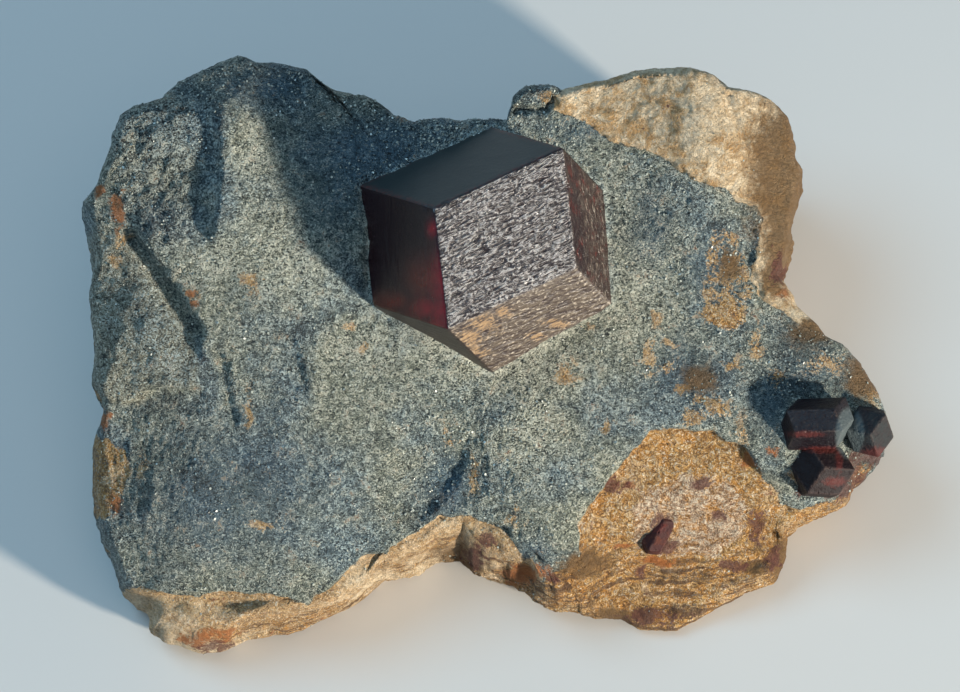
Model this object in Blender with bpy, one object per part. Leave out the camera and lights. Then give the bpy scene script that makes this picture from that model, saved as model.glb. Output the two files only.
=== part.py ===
# A large garnet crystal in a hand-sized lump of mica schist, lying on its back with the crystal up.
# Millimetres are used throughout and turned into metres where a mesh is made. +Z is up.
#
# The lump's face is nearly flat, and leans toward the front. It has a frame of its own, the face frame:
# "across" runs along +X, "up" runs up the slope of the face, and "out" stands square to the face.

import math

import bmesh
import bpy
import numpy as np
from mathutils import Euler, Vector

MM = 0.001

# Lean of the face, and the place of the face frame's origin above the ground and along Y.
FACE_LEAN = math.radians(20.0)
FACE_HEIGHT = 20.0
FACE_SET_BACK = -2.2

# Gap left between each crystal and the rock or crystal next to it.
CLEARANCE = 0.3

# The outline of the lump in the face frame, clockwise from the upper left: across, up, how far the
# rounded rim of the face lies inside the outline, and how far below the rim the lump is widest.
OUTLINE = (
    (-33.0, 25.4, 0.9, 2.0),
    (-29.6, 28.1, 0.9, 2.0),
    (-25.5, 29.8, 0.9, 2.0),
    (-21.0, 28.9, 0.8, 2.0),
    (-18.3, 28.5, 0.8, 2.0),
    (-15.6, 26.4, 0.8, 2.0),
    (-11.5, 25.4, 0.7, 1.6),
    (-8.5, 23.6, 0.7, 1.4),
    (-3.0, 23.5, 0.6, 1.3),
    (1.6, 23.6, 0.6, 1.3),
    (2.4, 25.8, 0.8, 1.6),
    (3.8, 26.9, 0.8, 1.8),
    (6.2, 27.0, 0.8, 1.8),
    (7.2, 26.4, 0.8, 1.8),
    (12.0, 27.6, 0.9, 2.2),
    (16.7, 28.6, 0.9, 2.2),
    (20.1, 28.5, 0.9, 2.2),
    (24.0, 26.7, 0.9, 2.2),
    (28.6, 25.7, 0.9, 2.4),
    (30.7, 22.2, 0.9, 2.4),
    (31.7, 17.5, 0.9, 2.4),
    (30.5, 13.1, 0.9, 2.2),
    (30.1, 9.9, 0.9, 2.2),
    (29.0, 7.7, 0.8, 2.0),
    (30.8, 5.4, 0.8, 2.0),
    (33.1, 2.9, 0.9, 2.0),
    (35.3, 1.1, 0.9, 2.0),
    (37.2, -1.0, 0.9, 2.0),
    (39.1, -4.4, 0.9, 2.0),
    (40.5, -7.2, 1.0, 2.4),
    (40.5, -8.8, 1.1, 2.6),
    (38.6, -11.0, 1.3, 2.8),
    (36.8, -12.9, 1.5, 3.0),
    (34.0, -15.8, 1.8, 3.0),
    (31.8, -16.7, 1.8, 3.2),
    (30.1, -18.4, 1.4, 2.6),
    (30.0, -20.2, 1.3, 2.4),
    (28.6, -22.8, 1.4, 2.2),
    (25.9, -23.9, 1.6, 2.0),
    (22.1, -26.3, 1.8, 1.8),
    (19.0, -28.0, 2.2, 1.6),
    (15.3, -28.0, 2.2, 1.6),
    (13.3, -26.8, 2.0, 2.0),
    (10.8, -26.7, 2.4, 3.0),
    (8.7, -25.6, 2.8, 4.0),
    (4.4, -24.0, 3.6, 6.0),
    (0.9, -22.3, 4.0, 7.5),
    (-3.0, -20.2, 4.0, 8.5),
    (-5.6, -20.6, 3.8, 8.0),
    (-7.5, -21.6, 3.4, 7.0),
    (-11.1, -22.0, 2.6, 6.0),
    (-13.2, -24.4, 3.0, 6.0),
    (-15.4, -25.8, 3.2, 6.0),
    (-19.6, -27.6, 3.6, 6.2),
    (-24.9, -28.6, 4.6, 6.2),
    (-29.0, -29.8, 5.6, 6.2),
    (-32.4, -29.1, 5.2, 6.0),
    (-34.4, -27.0, 3.4, 5.0),
    (-37.2, -24.6, 1.6, 4.0),
    (-38.2, -20.5, 1.2, 3.4),
    (-39.4, -17.2, 1.3, 3.2),
    (-40.2, -13.5, 2.2, 3.6),
    (-40.0, -9.6, 1.8, 3.4),
    (-38.9, -6.0, 1.0, 3.0),
    (-39.7, -3.2, 1.0, 2.4),
    (-39.7, 0.0, 1.0, 2.4),
    (-40.2, 5.5, 1.0, 2.2),
    (-39.8, 10.0, 1.0, 2.0),
    (-40.6, 15.2, 0.9, 2.0),
    (-38.6, 19.0, 0.9, 2.0),
    (-37.1, 23.8, 0.9, 2.0),
)

# Spot heights on the face, as on a map: across, up, out.
SPOT_HEIGHTS = (
    # round the foot of the large crystal
    (-13.0, 17.5, 0.6), (-11.8, 5.0, 0.9), (-5.0, 1.6, 1.2), (-0.5, -1.6, 0.4), (6.0, 2.4, 0.0),
    (12.8, 5.0, -0.6), (13.0, 11.0, -1.6), (12.0, 16.5, -2.5), (7.0, 21.8, -2.3), (0.0, 23.2, -1.6),
    (-7.0, 21.0, -0.5), (0.0, 11.0, 0.0),
    # upper left: a high shoulder with a steep back and a groove down its front
    (-16.0, 20.0, 0.3), (-18.0, 11.0, 3.3), (-20.0, 24.0, -0.2), (-22.5, 15.0, 3.9), (-24.6, 24.6, 1.5),
    (-26.8, 23.5, 2.9), (-26.6, 14.0, 4.6), (-28.4, 19.0, 2.7), (-30.2, 23.0, 3.1), (-31.0, 15.0, 4.2),
    (-34.0, 19.5, 3.2), (-36.5, 22.5, 1.7), (-38.2, 17.0, 1.5), (-25.5, 28.8, -1.2), (-20.0, 28.0, -1.4),
    (-15.0, 25.4, -1.0), (-10.0, 23.6, -1.4), (-31.0, 26.2, 1.2),
    # left: the gentle slope from the shoulder down to a low step
    (-24.0, 8.0, 3.7), (-17.0, 5.0, 2.6), (-30.5, 7.0, 2.6), (-35.5, 9.0, 2.2), (-39.0, 8.0, 0.5),
    (-34.0, 1.0, 1.9), (-38.8, 1.0, 0.3), (-33.0, -3.0, 1.5), (-35.0, -6.5, 0.3), (-26.0, -1.0, 2.3),
    (-25.0, -8.0, 1.3), (-15.0, -3.0, 2.2), (-8.0, -4.0, 1.6),
    # lower left: a broad low swelling
    (-30.0, -15.0, 0.7), (-21.0, -15.0, 1.5), (-14.0, -15.0, 1.2), (-30.0, -22.0, -1.2), (-21.0, -22.0, -0.3),
    (-37.0, -11.0, -0.8), (-37.5, -18.0, -2.4), (-34.0, -23.0, -2.9), (-27.0, -25.0, -2.6), (-17.0, -22.5, -1.0),
    (-11.0, -19.5, -0.8), (-9.0, -11.0, 0.8),
    # below the large crystal: a rounded ridge with a crease on its left
    (-4.6, -13.0, -0.9), (-2.4, -9.0, 0.0), (1.0, -8.0, 0.7), (4.0, -14.0, 0.5), (6.5, -19.5, -0.6),
    (-2.0, -16.0, -1.2), (9.0, -9.0, 0.2),
    # right: smooth ground that falls gently away
    (14.0, 0.0, -0.7), (17.5, 8.0, -1.8), (22.0, 13.0, -2.0), (19.0, 18.0, -2.3), (17.0, -4.5, -0.6),
    (22.0, 0.0, -1.5), (25.5, 6.0, -2.6),
    # upper right: the broken, weathered shoulder
    (4.5, 25.6, -1.6), (11.0, 25.5, -2.6), (17.0, 26.0, -2.2), (21.5, 22.5, -1.6), (25.0, 19.0, -2.4),
    (28.5, 22.5, -4.4), (30.0, 16.0, -5.4), (28.5, 9.0, -4.6),
    # far right: the low lobe that holds the small crystals
    (28.0, 1.5, -2.8), (33.0, -0.5, -2.6), (36.5, -3.0, -3.6), (27.0, -5.0, -1.6), (27.5, -10.5, -1.9),
    (31.5, -10.0, -2.2), (35.5, -8.0, -2.6), (39.2, -8.0, -4.6), (33.0, -14.0, -4.6),
    # lower right: the corner broken off, sloping down from a lip
    (13.0, -9.0, -0.4), (18.5, -6.6, -0.8), (24.5, -8.4, -1.4), (15.5, -11.5, -1.7), (21.0, -10.0, -1.9),
    (11.5, -16.5, -2.0), (8.8, -21.5, -3.0), (20.0, -15.5, -3.6), (26.5, -14.5, -3.8), (15.0, -20.5, -5.6),
    (22.5, -20.5, -6.6), (28.0, -19.0, -7.2), (17.0, -25.0, -9.0), (11.0, -23.8, -6.8),
)
SPOT_ROUNDING = 2.5

# The face is drawn in rings round this point, which lies under the large crystal.
CENTRE_ACROSS = 1.0
CENTRE_UP = 8.0
DIRECTIONS = 120
FACE_RINGS = 22

# The side wall: its belly and its foot, as a share of the widest outline, and the belly's height as
# a share of the height at which the lump is widest.
BELLY_SIZE = 0.985
BELLY_HEIGHT = 0.45
FOOT_SIZE = 0.87
WALL_STEPS = 3

# Shallow dished facets on the broken rock: how many, the relief from a facet's middle to a point
# this far away, and the seed.
FACET_COUNT = 220
FACET_REACH = 6.0
FACET_RELIEF = 0.9
FACET_SEED = 11
# The share of the rock that the facets leave a little below its plain shape.
FACET_SUNK_SHARE = 0.8

# The four edge directions of a rhombic dodecahedron, which point to alternate corners of a cube.
EDGE_DIRECTIONS = ((1, 1, 1), (1, -1, -1), (-1, 1, -1), (-1, -1, 1))
# Half of a face's width for each millimetre of edge length across it.
FACE_DISTANCE = math.sqrt(2.0 / 3.0)

# Each crystal: the lengths of its edges in the four directions, its turn in degrees, and its centre
# in the face frame.
CRYSTALS = {
    "garnet_main": ((12.0, 14.4, 12.1, 12.0), (-72.4, 35.1, 73.7), (0.0, 10.5, -1.1)),
    "garnet_side_upper": ((4.8, 3.2, 2.4, 3.0), (21.0, 45.0, -20.0), (32.7, -7.0, -1.5)),
    "garnet_side_tip": ((2.7, 2.8, 2.6, 2.7), (170.0, -53.0, 25.0), (38.0, -7.7, -3.3)),
    "garnet_side_lower": ((3.6, 3.1, 3.6, 3.4), (151.0, -26.0, -8.0), (33.1, -11.5, -3.8)),
    "garnet_remnant": ((3.3, 1.4, 1.3, 1.7), (140.0, -44.0, 120.0), (16.9, -18.1, -5.2)),
}

# A crystal that grew against another is cut back along it.
GROWN_AGAINST = {
    "garnet_side_tip": ("garnet_side_upper",),
    "garnet_side_lower": ("garnet_side_upper", "garnet_side_tip"),
}

# Base colour, roughness and metallic value of each material.
SCHIST_LOOK = ((0.27, 0.28, 0.24), 0.75, 0.0)
GARNET_LOOK = ((0.10, 0.015, 0.02), 0.30, 0.0)
COATED_LOOK = ((0.07, 0.05, 0.06), 0.45, 0.0)
REMNANT_LOOK = ((0.14, 0.02, 0.015), 0.40, 0.0)


def clear_scene():
    for thing in list(bpy.data.objects):
        bpy.data.objects.remove(thing)


def make_material(name, look):
    colour, roughness, metallic = look
    material = bpy.data.materials.new(name)
    material.use_nodes = True
    surface = material.node_tree.nodes["Principled BSDF"]
    surface.inputs["Base Color"].default_value = (*colour, 1.0)
    surface.inputs["Roughness"].default_value = roughness
    surface.inputs["Metallic"].default_value = metallic
    return material


def from_face_frame(across, up, out):
    # Turns the face frame about X by the lean, then lifts it and sets it back.
    y = up * math.cos(FACE_LEAN) - out * math.sin(FACE_LEAN) + FACE_SET_BACK
    z = up * math.sin(FACE_LEAN) + out * math.cos(FACE_LEAN) + FACE_HEIGHT
    return np.stack(np.broadcast_arrays(across, y, z), axis=-1)


def out_at_height(up, z):
    # The distance out from the face frame's plane of a point at height z.
    return (z - FACE_HEIGHT - up * math.sin(FACE_LEAN)) / math.cos(FACE_LEAN)


def spot_kernel(across, up, spots):
    distance_squared = (across[..., None] - spots[:, 0]) ** 2 + (up[..., None] - spots[:, 1]) ** 2
    return np.sqrt(distance_squared + SPOT_ROUNDING**2)


def face_height(across, up):
    # A smooth sheet through every spot height.
    spots = np.array(SPOT_HEIGHTS)
    weights = np.linalg.solve(spot_kernel(spots[:, 0], spots[:, 1], spots), spots[:, 2])
    return spot_kernel(across, up, spots) @ weights


def outline_at(angles):
    # Radius, rim inset and drop to the widest level in each direction from the centre.
    rows = np.array(OUTLINE)
    offset_across = rows[:, 0] - CENTRE_ACROSS
    offset_up = rows[:, 1] - CENTRE_UP
    turns = np.arctan2(offset_up, offset_across)
    order = np.argsort(turns)
    columns = (np.hypot(offset_across, offset_up), rows[:, 2], rows[:, 3])
    return [np.interp(angles, turns[order], column[order], period=2.0 * math.pi) for column in columns]


def facet_relief(points):
    # Each facet is a shallow dish round a seed point: it rises with the square of the distance from
    # the nearest seed, so that neighbours meet in low ridges.
    random = np.random.default_rng(FACET_SEED)
    low, high = points.min(axis=0), points.max(axis=0)
    seeds = random.uniform(low, high, (FACET_COUNT, 3))
    away = points[:, None, :] - seeds[None, :, :]
    nearest_squared = (away**2).sum(axis=2).min(axis=1)
    relief = FACET_RELIEF * nearest_squared / FACET_REACH**2
    return relief - np.quantile(relief, FACET_SUNK_SHARE)


def rock_rings():
    # Every ring of the lump, from the centre of the face, over the rim and down to the flat foot.
    angles = np.linspace(-math.pi, math.pi, DIRECTIONS, endpoint=False)
    radius, inset, drop = outline_at(angles)
    cosine, sine = np.cos(angles), np.sin(angles)

    def on_face(distance):
        across = CENTRE_ACROSS + distance * cosine
        up = CENTRE_UP + distance * sine
        return from_face_frame(across, up, face_height(across, up))

    rings = [on_face((radius - inset) * ring / FACE_RINGS) for ring in range(1, FACE_RINGS + 1)]
    rim = rings[-1]

    widest_across = CENTRE_ACROSS + radius * cosine
    widest_up = CENTRE_UP + radius * sine
    widest_height = np.maximum(rim[:, 2] - drop, 1.0)
    widest = from_face_frame(widest_across, widest_up, out_at_height(widest_up, widest_height))

    centre = widest.mean(axis=0)
    belly = centre + (widest - centre) * BELLY_SIZE
    belly[:, 2] = widest[:, 2] * BELLY_HEIGHT
    foot = centre + (widest - centre) * FOOT_SIZE
    foot[:, 2] = 0.0
    low_foot = centre + (widest - centre) * (BELLY_SIZE + FOOT_SIZE) / 2.0
    low_foot[:, 2] = widest[:, 2] * BELLY_HEIGHT / 3.0

    rings.append(widest)
    rings.extend(widest + (belly - widest) * step / WALL_STEPS for step in range(1, WALL_STEPS + 1))
    rings.extend((low_foot, foot))

    # The facets fade out at the foot, which stays flat on the ground.
    points = np.concatenate(rings)
    outward = points - np.array((0.0, 0.0, points[:, 2].mean()))
    outward /= np.linalg.norm(outward, axis=1, keepdims=True)
    fade = np.clip(points[:, 2] / 3.0, 0.0, 1.0)
    points += outward * (facet_relief(points) * fade)[:, None]
    points[-DIRECTIONS:, 2] = 0.0
    return points.reshape(len(rings), DIRECTIONS, 3)


def make_rock():
    rings = rock_rings()
    shape = bmesh.new()
    centre_point = from_face_frame(CENTRE_ACROSS, CENTRE_UP, 0.0)
    top = shape.verts.new(Vector(centre_point) * MM)
    rows = [[shape.verts.new(Vector(point) * MM) for point in ring] for ring in rings]
    for index in range(DIRECTIONS):
        after = (index + 1) % DIRECTIONS
        shape.faces.new((top, rows[0][index], rows[0][after]))
        for inner, outer in zip(rows, rows[1:]):
            shape.faces.new((inner[index], outer[index], outer[after], inner[after]))
    shape.faces.new(rows[-1])
    bmesh.ops.recalc_face_normals(shape, faces=shape.faces)
    mesh = bpy.data.meshes.new("schist_matrix")
    shape.to_mesh(mesh)
    shape.free()
    rock = bpy.data.objects.new("schist_matrix", mesh)
    bpy.context.collection.objects.link(rock)
    rock.data.materials.append(make_material("schist", SCHIST_LOOK))
    return rock


def make_crystal(name, edges, turn, centre, grow):
    # Adding half of every edge, forward or back, gives the corners. Longer edges move every face out.
    turned = Euler([math.radians(angle) for angle in turn]).to_matrix()
    place = Vector(from_face_frame(*centre))
    longer = grow / FACE_DISTANCE
    halves = [
        turned @ Vector(direction).normalized() * (edge + longer) / 2.0
        for direction, edge in zip(EDGE_DIRECTIONS, edges)
    ]
    shape = bmesh.new()
    for signs in range(2 ** len(halves)):
        corner = place.copy()
        for index, half in enumerate(halves):
            corner += half if signs >> index & 1 else -half
        shape.verts.new(corner * MM)
    hull = bmesh.ops.convex_hull(shape, input=shape.verts)
    inside = [item for item in hull["geom_interior"] if isinstance(item, bmesh.types.BMVert)]
    bmesh.ops.delete(shape, geom=inside, context="VERTS")
    bmesh.ops.dissolve_limit(
        shape, angle_limit=math.radians(1.0), verts=shape.verts, edges=shape.edges
    )
    bmesh.ops.recalc_face_normals(shape, faces=shape.faces)
    mesh = bpy.data.meshes.new(name)
    shape.to_mesh(mesh)
    shape.free()
    crystal = bpy.data.objects.new(name, mesh)
    bpy.context.collection.objects.link(crystal)
    return crystal


def cut(target, cutter):
    modifier = target.modifiers.new("room_for_" + cutter.name, "BOOLEAN")
    modifier.operation = "DIFFERENCE"
    modifier.object = cutter


def main():
    clear_scene()
    rock = make_rock()
    looks = {
        "garnet_main": make_material("garnet", GARNET_LOOK),
        "garnet_side_upper": make_material("garnet_dark", GARNET_LOOK),
        "garnet_side_tip": make_material("garnet_coated", COATED_LOOK),
        "garnet_side_lower": make_material("garnet_rusty", GARNET_LOOK),
        "garnet_remnant": make_material("garnet_broken", REMNANT_LOOK),
    }
    crystals = {}
    rooms = {}
    for name, (edges, turn, centre) in CRYSTALS.items():
        crystals[name] = make_crystal(name, edges, turn, centre, 0.0)
        crystals[name].data.materials.append(looks[name])
        rooms[name] = make_crystal(name + "_room", edges, turn, centre, CLEARANCE)
        rooms[name].hide_render = True
        rooms[name].display_type = "WIRE"
        cut(rock, rooms[name])
    for name, neighbours in GROWN_AGAINST.items():
        for neighbour in neighbours:
            cut(crystals[name], rooms[neighbour])


main()
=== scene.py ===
# A garnet in mica schist: one large dodecahedral crystal, a few small ones, and the lump that holds them.
# The lump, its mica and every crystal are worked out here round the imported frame. Lengths are in
# millimetres until a mesh is made. The lump's face has a frame of its own: across (+X), up its slope, out.
import math
import bpy
import numpy as np
from mathutils import Euler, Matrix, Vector


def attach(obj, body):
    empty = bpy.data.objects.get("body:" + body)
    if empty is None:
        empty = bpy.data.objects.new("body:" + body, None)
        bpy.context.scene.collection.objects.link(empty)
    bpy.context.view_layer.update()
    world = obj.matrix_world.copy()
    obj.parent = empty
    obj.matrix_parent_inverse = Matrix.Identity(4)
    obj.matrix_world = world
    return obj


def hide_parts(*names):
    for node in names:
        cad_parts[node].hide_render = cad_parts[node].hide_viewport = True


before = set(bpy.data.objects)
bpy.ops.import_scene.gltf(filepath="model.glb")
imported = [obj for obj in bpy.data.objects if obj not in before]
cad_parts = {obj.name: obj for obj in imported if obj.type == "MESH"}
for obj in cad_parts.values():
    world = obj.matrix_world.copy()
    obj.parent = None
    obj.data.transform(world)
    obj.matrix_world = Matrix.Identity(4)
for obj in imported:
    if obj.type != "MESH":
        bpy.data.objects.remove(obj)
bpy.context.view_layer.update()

mm = 0.001

# places: the leaning face and the way from it to the world
leaningFace = {
    "lean": math.radians(20.0),      # how far the face leans toward the front
    "height": 20.0,                  # its origin above the ground
    "setBack": -2.2,                 # and along Y
}


def fromFace(across, up, out):
    # the face frame turned about X by the lean, then lifted and set back
    lean = leaningFace["lean"]
    y = up * math.cos(lean) - out * math.sin(lean) + leaningFace["setBack"]
    z = up * math.sin(lean) + out * math.cos(lean) + leaningFace["height"]
    return np.stack(np.broadcast_arrays(across, y, z), axis=-1)


def toFace(points):
    # the same turn the other way round
    lean = leaningFace["lean"]
    y = points[..., 1] - leaningFace["setBack"]
    z = points[..., 2] - leaningFace["height"]
    up = y * math.cos(lean) + z * math.sin(lean)
    out = z * math.cos(lean) - y * math.sin(lean)
    return np.stack([points[..., 0], up, out], axis=-1)


def outAtHeight(up, z):
    # how far out from the face's plane a point at height z is
    lean = leaningFace["lean"]
    return (z - leaningFace["height"] - up * math.sin(lean)) / math.cos(lean)


# noise, worked out for whole arrays of points
def smoothStep(low, high, value):
    # 0 below low, 1 above high, and 3t^2 - 2t^3 between
    share = np.clip((value - low) / (high - low), 0.0, 1.0)
    return share * share * (3.0 - 2.0 * share)


def scramble(cell, seed):
    # three numbers from -1 to 1 for each whole-number cell, the same on every run
    mixed = (cell[..., 0] * 73856093) ^ (cell[..., 1] * 19349663)
    mixed = mixed ^ (cell[..., 2] * 83492791) ^ (seed * 2654435)
    numbers = []
    for turn in range(3):
        mixed = (mixed ^ (mixed >> 15)) * 2246822519 & 0xFFFFFFFF
        mixed = (mixed ^ (mixed >> 13)) * 3266489917 & 0xFFFFFFFF
        mixed = mixed ^ (mixed >> 16)
        numbers.append((mixed & 0xFFFF) / 32767.5 - 1.0)
    return np.stack(numbers, axis=-1)


def noise(points, seed):
    # gradient noise: a random slope at each corner of a cell, blended by 6t^5 - 15t^4 + 10t^3
    cell = np.floor(points).astype(np.int64)
    inside = points - cell
    fade = inside**3 * (inside * (inside * 6.0 - 15.0) + 10.0)
    total = np.zeros(points.shape[:-1])
    for corner in np.ndindex(2, 2, 2):
        slope = scramble(cell + corner, seed)
        weight = np.prod(np.where(corner, fade, 1.0 - fade), axis=-1)
        total += weight * (slope * (inside - corner)).sum(axis=-1)
    return total


def layeredNoise(points, seed, layers):
    # each layer of noise is twice as fine and half as strong as the last
    return sum(noise(points * 2.0**n, seed + n) / 2.0**n for n in range(layers))


def ridgedNoise(points, seed, layers):
    # sharp crests where the noise crosses zero
    return sum((0.35 - np.abs(noise(points * 2.0**n, seed + n))) / 2.0**n for n in range(layers))


def cellNoise(points, seed):
    # distance to the nearest and the second nearest of one jittered seed point in each cell
    cell = np.floor(points).astype(np.int64)
    nearest = np.full(points.shape[:-1], 9.0)
    second = nearest.copy()
    for step in np.ndindex(3, 3, 3):
        beside = cell + np.array(step) - 1
        seedPoint = beside + 0.5 + 0.45 * scramble(beside, seed)
        distance = np.linalg.norm(points - seedPoint, axis=-1)
        second = np.minimum(second, np.maximum(nearest, distance))
        nearest = np.minimum(nearest, distance)
    return nearest, second


# shapes drawn on the face
def insideDistance(across, up, corners):
    # distance to a closed outline, positive inside it
    corners = np.array(corners, float)
    following = np.roll(corners, -1, axis=0)
    nearest = np.full(across.shape, 1e9)
    crossings = np.zeros(across.shape, int)
    for (startX, startY), (endX, endY) in zip(corners, following):
        alongX, alongY = endX - startX, endY - startY
        share = ((across - startX) * alongX + (up - startY) * alongY) / (alongX**2 + alongY**2)
        share = np.clip(share, 0.0, 1.0)
        gap = np.hypot(across - startX - share * alongX, up - startY - share * alongY)
        nearest = np.minimum(nearest, gap)
        spans = (startY > up) != (endY > up)
        crossings += spans & (across < startX + alongX * (up - startY) / (alongY if alongY else 1e-9))
    return np.where(crossings % 2 == 1, nearest, -nearest)


def lineDistance(across, up, line):
    # distance to a broken line, and how far along it the nearest point is, from 0 to 1
    line = np.array(line, float)
    lengths = np.hypot(*np.diff(line, axis=0).T)
    starts = np.concatenate([[0.0], np.cumsum(lengths)])
    nearest = np.full(across.shape, 1e9)
    along = np.zeros(across.shape)
    for index, length in enumerate(lengths):
        startX, startY = line[index]
        alongX, alongY = (line[index + 1] - line[index]) / length
        reach = np.clip((across - startX) * alongX + (up - startY) * alongY, 0.0, length)
        gap = np.hypot(across - startX - reach * alongX, up - startY - reach * alongY)
        closer = gap < nearest
        nearest = np.where(closer, gap, nearest)
        along = np.where(closer, (starts[index] + reach) / starts[-1], along)
    return nearest, along


def spots(across, up, places):
    # soft round spots: each place is across, up, reach across, reach up
    total = np.zeros(across.shape)
    for x, y, reachX, reachY in places:
        total = np.maximum(total, np.exp(-((across - x) / reachX) ** 2 - ((up - y) / reachY) ** 2))
    return total


# meshes from arrays
def gridFaces(rows, columns, wrap=False):
    # the four corners of every cell of a grid whose points run row by row
    index = np.arange(rows * columns).reshape(rows, columns)
    if wrap:
        index = np.concatenate([index, index[:, :1]], axis=1)
    upper, lower = index[:-1], index[1:]
    corners = [upper[:, :-1], upper[:, 1:], lower[:, 1:], lower[:, :-1]]
    return np.stack(corners, axis=-1).reshape(-1, 4)


def pointNormals(points, quads):
    # each face's normal, as the cross product of its diagonals, summed at its corners
    across = points[quads[:, 2]] - points[quads[:, 0]]
    along = points[quads[:, 3]] - points[quads[:, 1]]
    faceNormals = np.cross(across, along)
    total = np.zeros_like(points)
    for axis in range(3):
        for corner in range(4):
            total[:, axis] += np.bincount(quads[:, corner], faceNormals[:, axis], len(points))
    return total / np.maximum(np.linalg.norm(total, axis=1, keepdims=True), 1e-12)


def makePiece(name, points, faces, attributes, material, node):
    # points in millimetres, faces as an array of corners, attributes as one number a point
    mesh = bpy.data.meshes.new(name)
    mesh.vertices.add(len(points))
    mesh.vertices.foreach_set("co", (points * mm).astype(np.float32).ravel())
    size = faces.shape[1]
    mesh.loops.add(faces.size)
    mesh.loops.foreach_set("vertex_index", faces.ravel().astype(np.int32))
    mesh.polygons.add(len(faces))
    mesh.polygons.foreach_set("loop_start", np.arange(0, faces.size, size, dtype=np.int32))
    mesh.polygons.foreach_set("loop_total", np.full(len(faces), size, np.int32))
    mesh.update(calc_edges=True)
    mesh.validate()
    for label, values in attributes.items():
        layer = mesh.attributes.new(label, "FLOAT", "POINT")
        layer.data.foreach_set("value", values.astype(np.float32))
    mesh.polygons.foreach_set("use_smooth", np.ones(len(mesh.polygons), bool))
    mesh.materials.append(material)
    piece = bpy.data.objects.new(name, mesh)
    bpy.context.scene.collection.objects.link(piece)
    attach(piece, "root")
    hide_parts(node)
    print("made", name, "with", len(mesh.polygons), "faces")
    return piece


# shader expressions
class Wire:
    # a socket that can be added, scaled and compared like a number
    def __init__(self, tree, socket):
        self.tree = tree
        self.socket = socket

    def node(self, kind, settings, inputs, output=0):
        # any node: its settings first, such as a Math node's operation, then each socket's value or wire
        made = self.tree.nodes.new("ShaderNode" + kind)
        for key, value in settings.items():
            setattr(made, key, value)
        for key, value in inputs.items():
            if isinstance(value, Wire):
                self.tree.links.new(value.socket, made.inputs[key])
            else:
                made.inputs[key].default_value = value
        return Wire(self.tree, made.outputs[output])

    def math(self, operation, *others):
        # a Math node on this and the other values
        values = (self, *others)
        return self.node("Math", {"operation": operation}, dict(enumerate(values)))

    # the operators, and the reflected forms in which a plain number comes first
    def __add__(self, other):
        return self.math("ADD", other)

    def __radd__(self, other):
        return self.math("ADD", other)

    def __mul__(self, other):
        return self.math("MULTIPLY", other)

    def __sub__(self, other):
        return self.math("SUBTRACT", other)

    def __rsub__(self, other):
        return (self * -1.0) + other

    def larger(self, other):
        # the larger of this and another
        return self.math("MAXIMUM", other)

    def smaller(self, other):
        # the smaller of this and another
        return self.math("MINIMUM", other)

    def step(self, low, high):
        # 0 at low, 1 at high, with soft ends
        settings = {"interpolation_type": "SMOOTHSTEP"}
        return self.node("MapRange", settings, {"Value": self, "From Min": low, "From Max": high})

    def tint(self, start, end):
        # from the colour start where this is 0 to the colour end where it is 1
        ends = [c if isinstance(c, Wire) else (*c, 1.0) for c in (start, end)]
        return self.node("Mix", {"data_type": "RGBA"}, {"Factor": self, 6: ends[0], 7: ends[1]}, 2)

    def times(self, factor):
        # a vector scaled by three numbers
        return self.node("VectorMath", {"operation": "MULTIPLY"}, {0: self, 1: factor})

    def along(self, direction):
        # how far a vector reaches along a direction
        return self.node("VectorMath", {"operation": "DOT_PRODUCT"}, {0: self, 1: tuple(direction)}, 1)

    def dot(self, other):
        # how far a vector reaches along another
        return self.node("VectorMath", {"operation": "DOT_PRODUCT"}, {0: self, 1: other}, 1)

    def less(self, other):
        # a vector less another
        return self.node("VectorMath", {"operation": "SUBTRACT"}, {0: self, 1: other})

    def size(self):
        # a number without its sign
        return self.math("ABSOLUTE")

    def joined(self, second, third):
        # three numbers as one vector
        return self.node("CombineXYZ", {}, {0: self, 1: second, 2: third})

    def bump(self, strength=1.0):
        # a normal from a height in millimetres
        return self.node("Bump", {}, {"Height": self, "Distance": 0.001, "Strength": strength})

    def grain(self, scale, detail=3.0, roughness=0.55, distortion=0.0):
        # noise on this vector, about 0.5 in the middle
        inputs = {"Vector": self, "Scale": scale, "Detail": detail, "Roughness": roughness}
        return self.node("TexNoise", {}, {**inputs, "Distortion": distortion})

    def cells(self, scale):
        # a random colour for each cell round a jittered seed point
        return self.node("TexVoronoi", {"feature": "F1"}, {"Vector": self, "Scale": scale}, 1)


def startMaterial(name):
    # an empty material, its Principled shader and a wire of its object coordinates
    material = bpy.data.materials.new(name)
    material.use_nodes = True
    tree = material.node_tree
    shader = tree.nodes["Principled BSDF"]
    start = Wire(tree, None)
    place = start.node("TexCoord", {}, {}, 3)
    return material, tree, shader, start, place


def attribute(start, name):
    # a number stored at each point of the piece
    return start.node("Attribute", {"attribute_name": name}, {}, 2)


def connect(tree, wire, shader, socket):
    # a wire led into one of the shader's sockets
    tree.links.new(wire.socket, shader.inputs[socket])


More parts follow.
